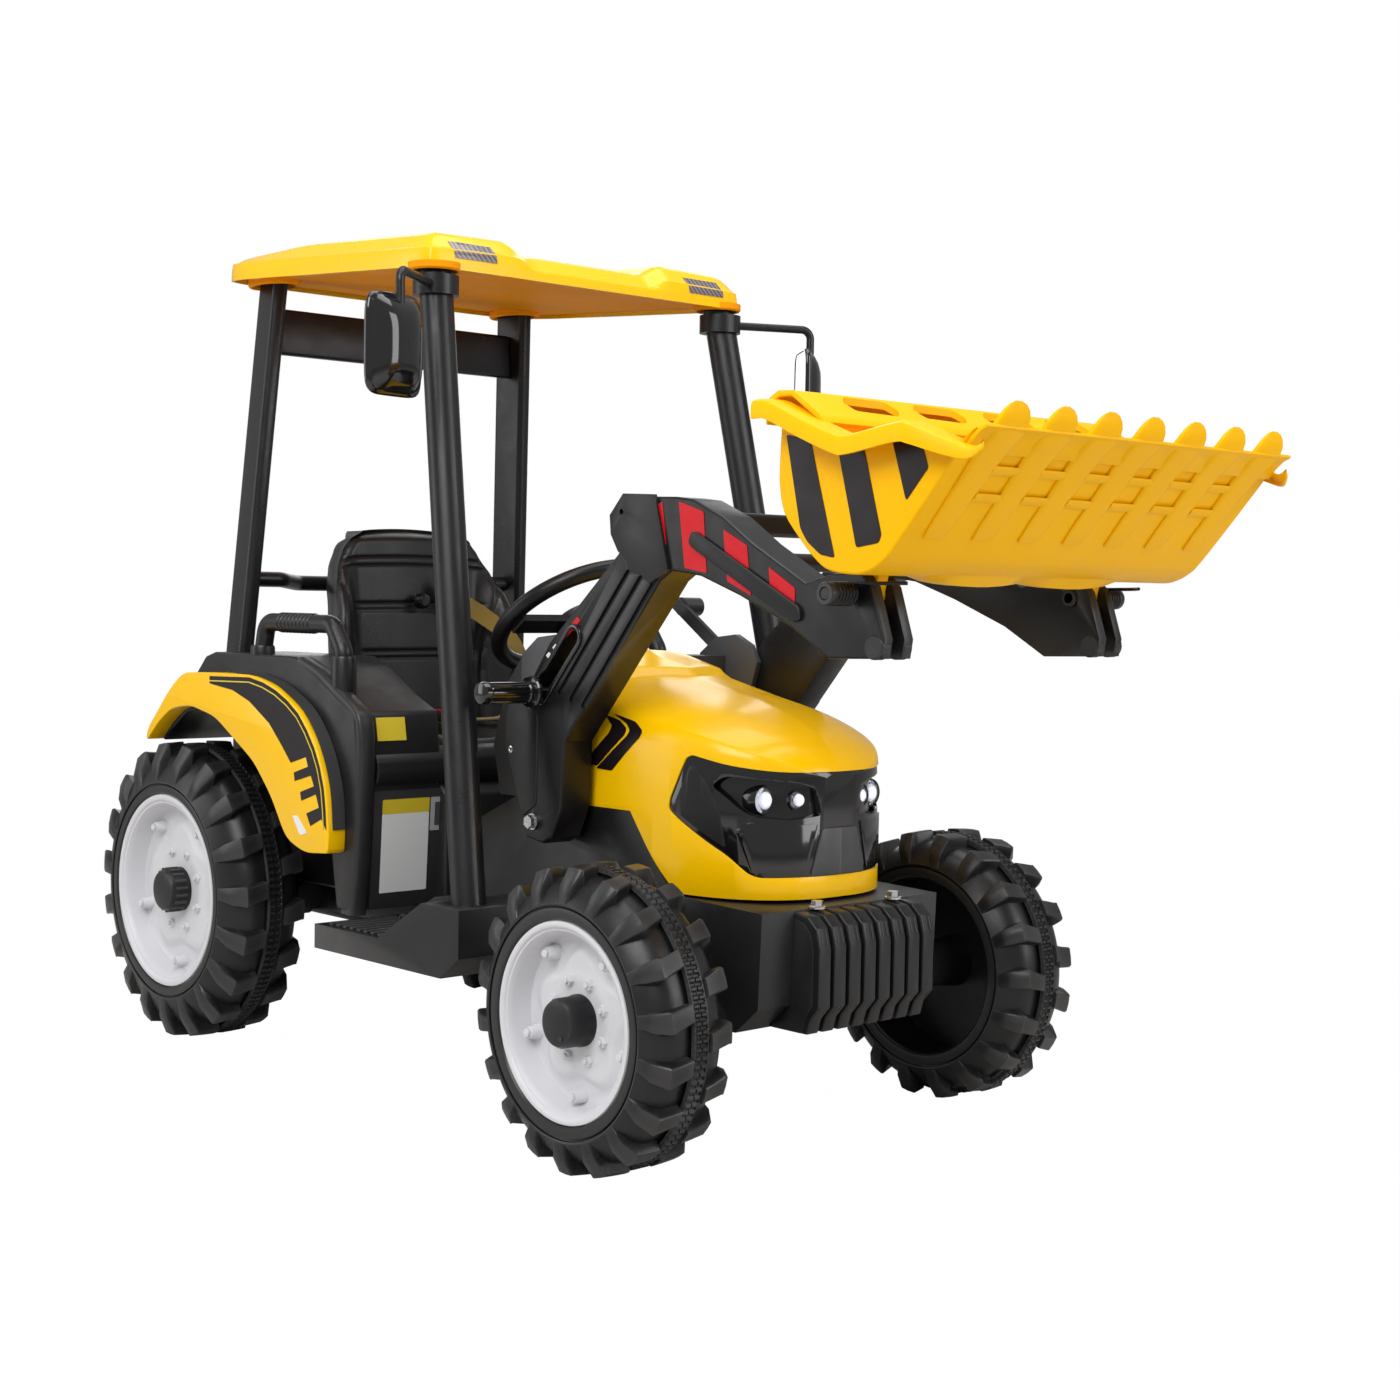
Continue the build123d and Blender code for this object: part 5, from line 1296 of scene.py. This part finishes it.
def seat_pan():
    """Moulded seat with two thigh hollows, a raised middle and a rolled front."""
    rows = []
    for i in range(61):
        t = i / 60
        x = -0.405 + 0.241 * t
        row = []
        for j in range(73):
            u = -1 + 2 * j / 72
            y = u * 0.1425
            z = 0.4035 - 0.030 * eased(t, 0.86, 1.0) ** 1.5
            z += 0.006 * eased(abs(u), 0.80, 0.97) - 0.008 * eased(abs(u), 0.975, 1.0)
            hollow = 0.007 * math.exp(-((abs(y) - 0.062) / 0.036) ** 2)
            z -= hollow * eased(t, 0.2, 0.5) * (1 - 0.7 * eased(t, 0.75, 1.0))
            z -= 0.0012 * groove(abs(y) - 0.012, 0.0016) * eased(t, 0.45, 0.5)
            row.append((x, y, z))
        rows.append(row)
    top = skinned("pan", rows)
    pan = changed(top, ("SOLIDIFY", {"thickness": 0.009, "offset": -1.0}))
    front = bevelled(prism("front", in_metres([(-186, 362), (-168, 372), (-163, 376), (-163, 366),
                                               (-172, 352)]),
                           -0.1415, 0.1415), 0.002, 2)
    piece("seat_pan_shell", joined("pan", [pan, front]), SEAT_BLACK, "chassis",
          ["seat_pan"], 50.0)


def belt():
    """Mustard webbing from the button on the seat back to the left hip, and the buckle on the seat."""
    knob = lathe("knob", [(0, -0.398), (0.006, -0.398), (0.009, -0.400), (0.0105, -0.404), (0.0105, -0.410),
                          (0, -0.410)],
                 32, "X", (0, -0.003, 0.565), False)
    hip = lathe("hip", [(0, -0.398), (0.006, -0.398), (0.009, -0.400), (0.0105, -0.404), (0.0105, -0.410),
                        (0, -0.410)],
                32, "X", (0, 0.100, 0.440), False)
    piece("belt_buttons", joined("knobs", [knob, hip]), GLOSS_BLACK, "chassis", (), 30.0)
    line = smooth_line([(-0.3985, 0.020, 0.585), (-0.396, 0.050, 0.566), (-0.388, 0.086, 0.545),
                        (-0.368, 0.110, 0.520),
                        (-0.360, 0.125, 0.490), (-0.362, 0.130, 0.455), (-0.370, 0.126, 0.425),
                        (-0.360, 0.105, 0.4125),
                        (-0.350, 0.060, 0.4110), (-0.345, 0.020, 0.4112)], 8)
    rows = []
    for index, point in enumerate(line):
        along = (line[min(index + 1, len(line) - 1)] - line[max(index - 1, 0)]).normalized()
        flat = eased(index / len(line), 0.62, 0.80)
        facing = Vector((1, 0, 0)).lerp(Vector((0, 0, 1)), flat).normalized()
        across = along.cross(facing).normalized() * 0.012
        up = across.cross(along).normalized() * 0.0008
        rows.append([point - across + up, point + across + up, point + across - up, point - across - up])
    piece("belt_webbing", skinned("belt", rows, True, True), MUSTARD_WEB, "chassis",
          ["lap_belt"], 60.0)
    buckle = bevelled(block(-0.372, -0.320, -0.026, 0.020, 0.4105, 0.4240), 0.004, 3)
    button = bevelled(block(-0.358, -0.334, -0.020, -0.006, 0.4230, 0.4252), 0.001, 2)
    piece("belt_buckle", buckle, SATIN_BLACK, "chassis")
    piece("belt_release", button, RED_FILM, "chassis")


seat_back()
seat_pan()
belt()


# ---------------------------------------------------------------- bumper weights
WEIGHT_LINE = [(346, 133), (397, 133), (402, 149), (413.6, 162), (413.6, 222), (408, 243), (396, 253.5),
               (374, 257),
               (371, 160)]
WEIGHT_CORE = [(341, 133), (390, 133), (395, 149), (405, 164), (405, 221), (400, 238), (391, 247),
               (377, 250),
               (372, 160)]


def front_weights():
    """Eight ballast ribs with eased edges and short slots at their chamfers."""
    meshes = [bevelled(prism("core", in_metres(WEIGHT_CORE), -0.088, 0.088), 0.002, 2)]
    pitch, half = 0.0225, 0.0085
    slots = []
    for index in range(8):
        y = (index - 3.5) * pitch
        rib = bevelled(prism("rib", in_metres(WEIGHT_LINE), y - half, y + half), 0.0018, 3)
        meshes.append(rib)
        for shift in (-0.0035, 0.0035):
            slots.append(rod((0.4086, y + shift, 0.2410), (0.4128, y + shift, 0.2265), 0.0009, 8))
            slots.append(rod((0.4064, y + shift, 0.1545), (0.4124, y + shift, 0.1610), 0.0009, 8))
    piece("weight_ribs", joined("weights", meshes + slots), SATIN_BLACK, "chassis",
          ["front_weights"],
          32.0)


# ---------------------------------------------------------------- mirrors
MIRROR_STEMS = {"right": (-0.004393, -0.316215, 12.0), "left": (-0.025327, 0.328795, 55.0)}


def mirror_ring(width, height, depth, power, steps=72):
    ring = []
    for step in range(steps):
        a = 2 * math.pi * step / steps
        c, s = math.cos(a), math.sin(a)
        ring.append((depth, width / 2 * math.copysign(abs(c) ** (2 / power), c),
                     height / 2 * math.copysign(abs(s) ** (2 / power), s)))
    return ring


def mirror_shells():
    """Glossy housings: a lipped rim round the glass and a crowned back."""
    for side_name, (sx, sy, turn) in MIRROR_STEMS.items():
        rows = [mirror_ring(74.5, 100.5, -9.5, 6), mirror_ring(75.5, 101.5, -12.4, 6),
                mirror_ring(78, 104, -12.9, 6),
                mirror_ring(82, 108, -12.6, 6), mirror_ring(83.6, 109.6, -11.0, 6),
                mirror_ring(83.8, 109.8, -7.5, 6),
                mirror_ring(80.5, 106.5, -5.8, 6), mirror_ring(78.0, 104.0, -5.2, 5.5),
                mirror_ring(75, 101, -3.5, 5),
                mirror_ring(68, 93, 1.5, 4.8), mirror_ring(56, 78, 7.0, 4.4),
                mirror_ring(42, 60, 10.8, 4.0),
                mirror_ring(28, 42, 12.4, 3.4), mirror_ring(12, 20, 12.9, 2.6), mirror_ring(1, 2, 12.9, 2)]
        c, s = math.cos(math.radians(turn)), math.sin(math.radians(turn))
        placed = [[(sx + (c * x - s * y) * MM, sy + (s * x + c * y) * MM, 0.840 + z * MM) for x, y,
                   z in row]
                  for row in rows]
        placed = [row + [row[0]] for row in placed]
        shell = skinned("mirror", placed)
        piece("mirror_shell_" + side_name, shell, GLOSS_BLACK, "mirror_" + side_name,
              ["mirror_housing_" + side_name], 60.0)


# ---------------------------------------------------------------- fenders and their films
FENDER_FACE = 0.286
FENDER_OUTER = [(-457, 468), (-410, 469), (-362, 470), (-330, 465), (-301, 457), (-275, 446), (-251, 432),
                (-232, 414),
                (-215, 393), (-203, 372), (-194, 347), (-190, 322), (-188, 300)]
FENDER_INNER = [(-199, 312), (-222, 302), (-231, 316), (-204, 325), (-211, 340), (-242, 330), (-245, 340),
                (-215, 349), (-222, 361), (-257, 352), (-259, 362), (-228, 371), (-233, 382), (-266, 373),
                (-285, 391),
                (-315, 417), (-361, 441), (-401, 453), (-457, 459)]


def inset_line(line, distance):
    """A polyline moved sideways, to the right of its direction."""
    out = []
    for index, (x, z) in enumerate(line):
        before, after = line[max(index - 1, 0)], line[min(index + 1, len(line) - 1)]
        along = Vector((after[0] - before[0], after[1] - before[1])).normalized()
        out.append((x + along.y * distance, z - along.x * distance))
    return out


def fender_films():
    for side_name, side in SIDES:
        y = side * (FENDER_FACE + 0.0003)
        flat_film("fender_band_" + side_name, FENDER_OUTER + FENDER_INNER, y, BLACK_FILM, "chassis",
                  0.0008)
        line = inset_line(FENDER_OUTER, 5.0) + inset_line(FENDER_OUTER, 6.6)[::-1]
        flat_film("fender_line_" + side_name, line, side * (FENDER_FACE + 0.0006), YELLOW_FILM, "chassis",
                  0.0001)
        pane = [(-262, 311), (-251, 312), (-229, 293), (-245, 289)]
        flat_film("fender_pane_" + side_name, pane, y, WHITE_FILM, "chassis", 0.003)


FENDER_LINE = [(-622, 376), (-618, 394), (-560, 448), (-526, 470), (-474, 472), (-410, 473), (-362, 473),
               (-330, 468),
               (-300, 460), (-249, 435), (-212, 396), (-190, 348), (-184, 300), (-186, 273), (-199, 272),
               (-236, 269),
               (-277, 282), (-312, 330), (-352, 368), (-391, 389), (-446, 418), (-507, 429), (-556, 423),
               (-592, 402)]


def fenders():
    for side_name, side in SIDES:
        low, high = sorted((side * 0.262, side * FENDER_FACE))
        arch = prism("fender", rounded_outline(in_metres(FENDER_LINE), 0.016), low, high)
        piece("fender_shell_" + side_name, bevelled(arch, 0.0028, 3), BRIGHT_YELLOW, "chassis",
              ["fender_" + side_name])


def fender_edge_films():
    """Black film round the outer edge of each fender."""
    line = inset_line([(x, z) for x, z in FENDER_LINE[5:13]], -0.5)
    for side_name, side in SIDES:
        path = smooth_line([(x * MM, 0.0, z * MM) for x, z in line], 4)
        rows = [[(p.x, side * 0.2632, p.z), (p.x, side * 0.2805, p.z)] for p in path]
        film = changed(skinned("edge", rows), ("SOLIDIFY", {"thickness": 0.0003, "offset": 0.0}))
        piece("fender_edge_" + side_name, film, SATIN_BLACK, "chassis", (), 60.0)


# ---------------------------------------------------------------- seat base front
PANEL_FOOT, PANEL_HEAD = (-0.1700, 0.205), (-0.1620, 0.345)


def panel_x(z):
    """Where the sloping front of the seat base stands at a height."""
    share = (z - PANEL_FOOT[1]) / (PANEL_HEAD[1] - PANEL_FOOT[1])
    return PANEL_FOOT[0] + (PANEL_HEAD[0] - PANEL_FOOT[0]) * share


def notice(name, y0, y1, z0, z1, lift, material):
    """Blank notice on the seat base's front."""
    outline = rounded_outline([(y0, z0), (y1, z0), (y1, z1), (y0, z1)], 0.0012)
    points = [(panel_x(z) + lift, y, z) for y, z in outline]
    sheet = mesh_of(name, points, [tuple(range(len(points)))])
    film = changed(sheet, ("SOLIDIFY", {"thickness": 0.0003, "offset": 0.0}))
    piece(name, film, material, "chassis")


def seat_base():
    """Front of the seat base with its blank notices, the seat's rolled edge and the ribs beside them."""
    face = [(-0.178, 0.205), PANEL_FOOT, PANEL_HEAD, (-0.178, 0.345)]
    panel = bevelled(prism("panel", face, -0.238, 0.238), 0.0015, 2)
    piece("seat_front_panel", joined("panel", [panel]), SATIN_BLACK, "chassis")
    roll = in_metres([(-178, 346), (-164, 349), (-157, 356), (-154, 367), (-156, 380), (-163, 390),
                      (-178, 395)])
    edge = bevelled(prism("roll", rounded_outline(roll, 0.004), -0.238, 0.238), 0.002, 3)
    piece("seat_front_roll", joined("roll", [edge]), SEAT_BLACK, "chassis", (), 60.0)
    notice("notice_white", -0.226, -0.160, 0.224, 0.317, 0.0004, WHITE_FILM)
    notice("notice_head", -0.226, -0.160, 0.317, 0.334, 0.0005, YELLOW_FILM)
    notice("notice_grey", -0.158, -0.118, 0.294, 0.334, 0.0004, GREY_FILM)
    notice("notice_socket", -0.152, -0.124, 0.300, 0.328, 0.0007, DARK_GREY)
    upper = [(-0.1667, -0.234, 0.430), (-0.1667, -0.194, 0.430), (-0.1620, -0.194, 0.403),
             (-0.1620, -0.234, 0.403)]
    label = changed(mesh_of("upper", upper, [(0, 1, 2, 3)]), ("SOLIDIFY",
                                                              {"thickness": 0.0004, "offset": 0.0}))
    piece("notice_upper", label, YELLOW_FILM, "chassis")
    path = [(-0.170, 0.200), (-0.163, 0.260), (-0.158, 0.330), (-0.154, 0.385), (-0.157, 0.420),
            (-0.168, 0.440),
            (-0.204, 0.460), (-0.250, 0.484), (-0.290, 0.497)]
    for side_name, side in SIDES:
        rows = []
        for point in smooth_line([(x, 0.0, z) for x, z in path], 4):
            lean = eased(point.z, 0.40, 0.46)
            section = [(0.258, -0.030), (0.2618, -0.010), (0.2618, -0.003), (0.259, 0.000), (0.244, 0.000),
                       (0.241, -0.003), (0.2395, -0.010), (0.238, -0.030)]
            rows.append([(point.x + depth * (1 - 0.6 * lean), side * y, point.z + depth * 0.8 * lean)
                         for y, depth in section])
        piece("console_rib_" + side_name, skinned("rib", rows, True, True), SATIN_BLACK, "chassis",
              (), 50.0)


# ---------------------------------------------------------------- lamp beads
def lamp_beads():
    """Bright cores behind the lamp glass."""
    beads = []
    for side in (-1, 1):
        for x, y, r in LAMP_PLACES:
            centre = (0, side * y * MM, LAMP_HEIGHT * MM)
            front, rad = x * MM, r * MM * 0.62
            ball = [(rad * math.cos(a), front + 0.0010 + 0.0060 * math.sin(a))
                    for a in (math.pi / 2 * i / 6 for i in range(7))]
            beads.append(lathe("bead", ball[::-1] + [(0, front - 0.003)], 32, "X", centre, False))
    piece("lamp_beads", joined("beads", beads), LAMP_WHITE, "chassis", (), 40.0)


GRIP_Y, GRIP_Z = 0.246, 0.537


def handle_trim():
    """Corrugated grips and foot sleeves on the grab handles."""
    meshes = []
    for side in (-1, 1):
        ridges = []
        for index in range(9):
            x = -0.350 + index * 0.0085
            ridges += [(0.0112, x - 0.0036), (0.0122, x - 0.0024), (0.0125, x), (0.0122, x + 0.0024),
                       (0.0112, x + 0.0036)]
        meshes.append(lathe("grip", [(0.0105, -0.355)] + ridges + [(0.0105, -0.277)], 36, "X",
                            (0, side * GRIP_Y, GRIP_Z)))
        for x, low, high in ((-0.398, 0.494, 0.508), (-0.216, 0.456, 0.500)):
            sleeve = [(0.0112, low), (0.0150, low), (0.0148, high - 0.003), (0.0136, high), (0.0112, high)]
            meshes.append(lathe("sleeve", sleeve, 36, "Z", (x, side * GRIP_Y, 0)))
    piece("handle_trim", joined("handle_trim", meshes), TUBE_BLACK, "chassis", (), 30.0)


handle_trim()
front_weights()
mirror_shells()
fenders()
fender_films()
fender_edge_films()
seat_base()
lamp_beads()


# ---------------------------------------------------------------- pieces that keep their CAD form
ROUNDED = (
    ("chassis", 0.003, SATIN_BLACK), ("front_axle_beam", 0.001, TUBE_BLACK),
           ("drive_motors", 0.002, MATT_BLACK),
    ("seat_box", 0.005, SATIN_BLACK), ("console_right", 0.010, SATIN_BLACK),
           ("console_left", 0.010, SATIN_BLACK),
    ("step_right", 0.002, SATIN_BLACK), ("step_left", 0.002, SATIN_BLACK),
    ("dashboard", 0.005, MATT_BLACK), ("side_covers", 0.0015, DARK_GREY), ("pivot_tube", 0.001, TUBE_BLACK),
    ("rear_post_right", 0.002, TUBE_BLACK),
    ("rear_post_left", 0.002, TUBE_BLACK), ("roof_crossbar", 0.004, TUBE_BLACK),
    ("arm_right", 0.0025, SATIN_BLACK), ("arm_left", 0.0025, SATIN_BLACK),
           ("elbow_covers", 0.0012, SATIN_BLACK),
    ("arm_cross_members", 0.002, SATIN_BLACK), ("knuckle_right", 0.001, TUBE_BLACK),
           ("knuckle_left", 0.001, TUBE_BLACK),
    ("pedal", 0.001, MATT_BLACK),
)
PLAIN = {
    "rear_axle": STEEL, "battery": DARK_GREY, "grab_handles": TUBE_BLACK,
    "frame_bolts": STEEL, "front_post_right": TUBE_BLACK, "front_post_left": TUBE_BLACK,
    "back_rail": TUBE_BLACK, "mirror_brackets": TUBE_BLACK, "tie_rod": STEEL, "steering_wheel": SATIN_BLACK,
    "horn_buttons": DARK_GREY,
    "left_lever": SATIN_BLACK, "start_button": RED_FILM, "mirror_glass_right": MIRROR_FACE,
         "mirror_glass_left": MIRROR_FACE,
}


def carried_over():
    """CAD nodes that stay as they are get their procedural material."""
    for node, material in PLAIN.items():
        NODES[node].data.materials.clear()
        NODES[node].data.materials.append(material)


def rounded_pieces():
    for node, width, material in ROUNDED:
        softened(node, width, material)


rounded_pieces()
carried_over()


# ---------------------------------------------------------------- stage, lights and camera
def white_to_camera(material, colour, share):
    """A matt surface that looks white to the camera and keeps a soft shadow."""
    tree = material.node_tree
    shader = tree.nodes["Principled BSDF"]
    output = tree.nodes["Material Output"]
    glow = tree.nodes.new("ShaderNodeEmission")
    glow.inputs["Color"].default_value = (1, 1, 1, 1)
    glow.inputs["Strength"].default_value = 1.0
    path = tree.nodes.new("ShaderNodeLightPath")
    factor = tree.nodes.new("ShaderNodeMath")
    factor.operation = "MULTIPLY"
    factor.inputs[1].default_value = share
    tree.links.new(path.outputs["Is Camera Ray"], factor.inputs[0])
    mix = tree.nodes.new("ShaderNodeMixShader")
    tree.links.new(factor.outputs[0], mix.inputs[0])
    tree.links.new(shader.outputs[0], mix.inputs[1])
    tree.links.new(glow.outputs[0], mix.inputs[2])
    tree.links.new(mix.outputs[0], output.inputs["Surface"])
    socket(shader, "Base Color", (*colour, 1))
    socket(shader, "Roughness", 0.9)


FLOOR_COLOUR = (0.58, 0.56, 0.54)
CAMERA_SHARE = 0.996            # share of white that camera rays get from the floor
WORLD_LIGHT = 0.36              # strength of the world as a light
WORLD_SEEN = 1.0                # strength of the world as the camera sees it


def stage():
    """White floor and world, lit softly."""
    floor = bpy.data.objects.new("floor", prism("floor", [(-12, -12), (12, -12), (12, 12), (-12, 12)],
                                                -0.02, 0.0, "Z"))
    SCENE.collection.objects.link(floor)
    material = bpy.data.materials.new("pale_floor")
    material.use_nodes = True
    white_to_camera(material, FLOOR_COLOUR, CAMERA_SHARE)
    floor.data.materials.append(material)
    world = bpy.data.worlds.new("studio")
    SCENE.world = world
    world.use_nodes = True
    tree = world.node_tree
    back = tree.nodes["Background"]
    back.inputs["Color"].default_value = (1, 1, 1, 1)
    back.inputs["Strength"].default_value = WORLD_LIGHT
    bright = tree.nodes.new("ShaderNodeBackground")
    bright.inputs["Color"].default_value = (1, 1, 1, 1)
    bright.inputs["Strength"].default_value = WORLD_SEEN
    path = tree.nodes.new("ShaderNodeLightPath")
    mix = tree.nodes.new("ShaderNodeMixShader")
    tree.links.new(path.outputs["Is Camera Ray"], mix.inputs[0])
    tree.links.new(back.outputs[0], mix.inputs[1])
    tree.links.new(bright.outputs[0], mix.inputs[2])
    tree.links.new(mix.outputs[0], tree.nodes["World Output"].inputs["Surface"])


def softbox(name, place, target, width, height, power):
    """A rectangular area light aimed at a point."""
    light = bpy.data.lights.new(name, "AREA")
    light.shape = "RECTANGLE"
    light.size, light.size_y = width, height
    light.energy = power
    obj = bpy.data.objects.new(name, light)
    SCENE.collection.objects.link(obj)
    obj.location = place
    obj.rotation_euler = (Vector(target) - Vector(place)).to_track_quat("-Z", "Y").to_euler()


VIEWER_ANGLES = (47.356, 2.816, 0.938)      # azimuth, pitch and roll, in degrees
VIEWER_PLACE = (1.861, -1.5904, 0.5754)
SENSOR_WIDTH = 36.0
FOCAL_LENGTH = 53.5


def camera():
    """The viewer stands ahead and to the right, a little above the middle, and looks slightly down."""
    azimuth, pitch, roll = (math.radians(angle) for angle in VIEWER_ANGLES)
    forward = Vector((-math.sin(azimuth) * math.cos(pitch), math.cos(azimuth) * math.cos(pitch),
                      -math.sin(pitch)))
    right = forward.cross(Vector((0, 0, 1))).normalized()
    up = right.cross(forward)
    rolled_right = right * math.cos(roll) + up * math.sin(roll)
    rolled_up = up * math.cos(roll) - right * math.sin(roll)
    lens = bpy.data.cameras.new("viewer")
    lens.sensor_width = SENSOR_WIDTH
    lens.lens = FOCAL_LENGTH
    obj = bpy.data.objects.new("viewer", lens)
    SCENE.collection.objects.link(obj)
    turn = Matrix((rolled_right, rolled_up, -forward)).transposed().to_4x4()
    obj.matrix_world = Matrix.Translation(VIEWER_PLACE) @ turn
    SCENE.camera = obj


stage()
camera()
softbox("key", (1.2, -2.6, 2.6), (0.0, 0.0, 0.5), 2.2, 1.8, 78.0)
softbox("top", (0.2, 0.0, 3.4), (0.0, 0.0, 0.4), 3.2, 2.4, 56.0)
softbox("front", (3.0, 1.2, 1.6), (0.1, 0.0, 0.5), 1.6, 2.2, 40.0)
softbox("back", (-2.6, 2.0, 1.8), (-0.2, 0.0, 0.6), 1.8, 2.0, 20.0)
softbox("left_wall", (-2.2, -2.4, 1.2), (-0.3, 0.0, 0.5), 1.4, 2.0, 16.0)

SCENE.view_settings.view_transform = "Standard"
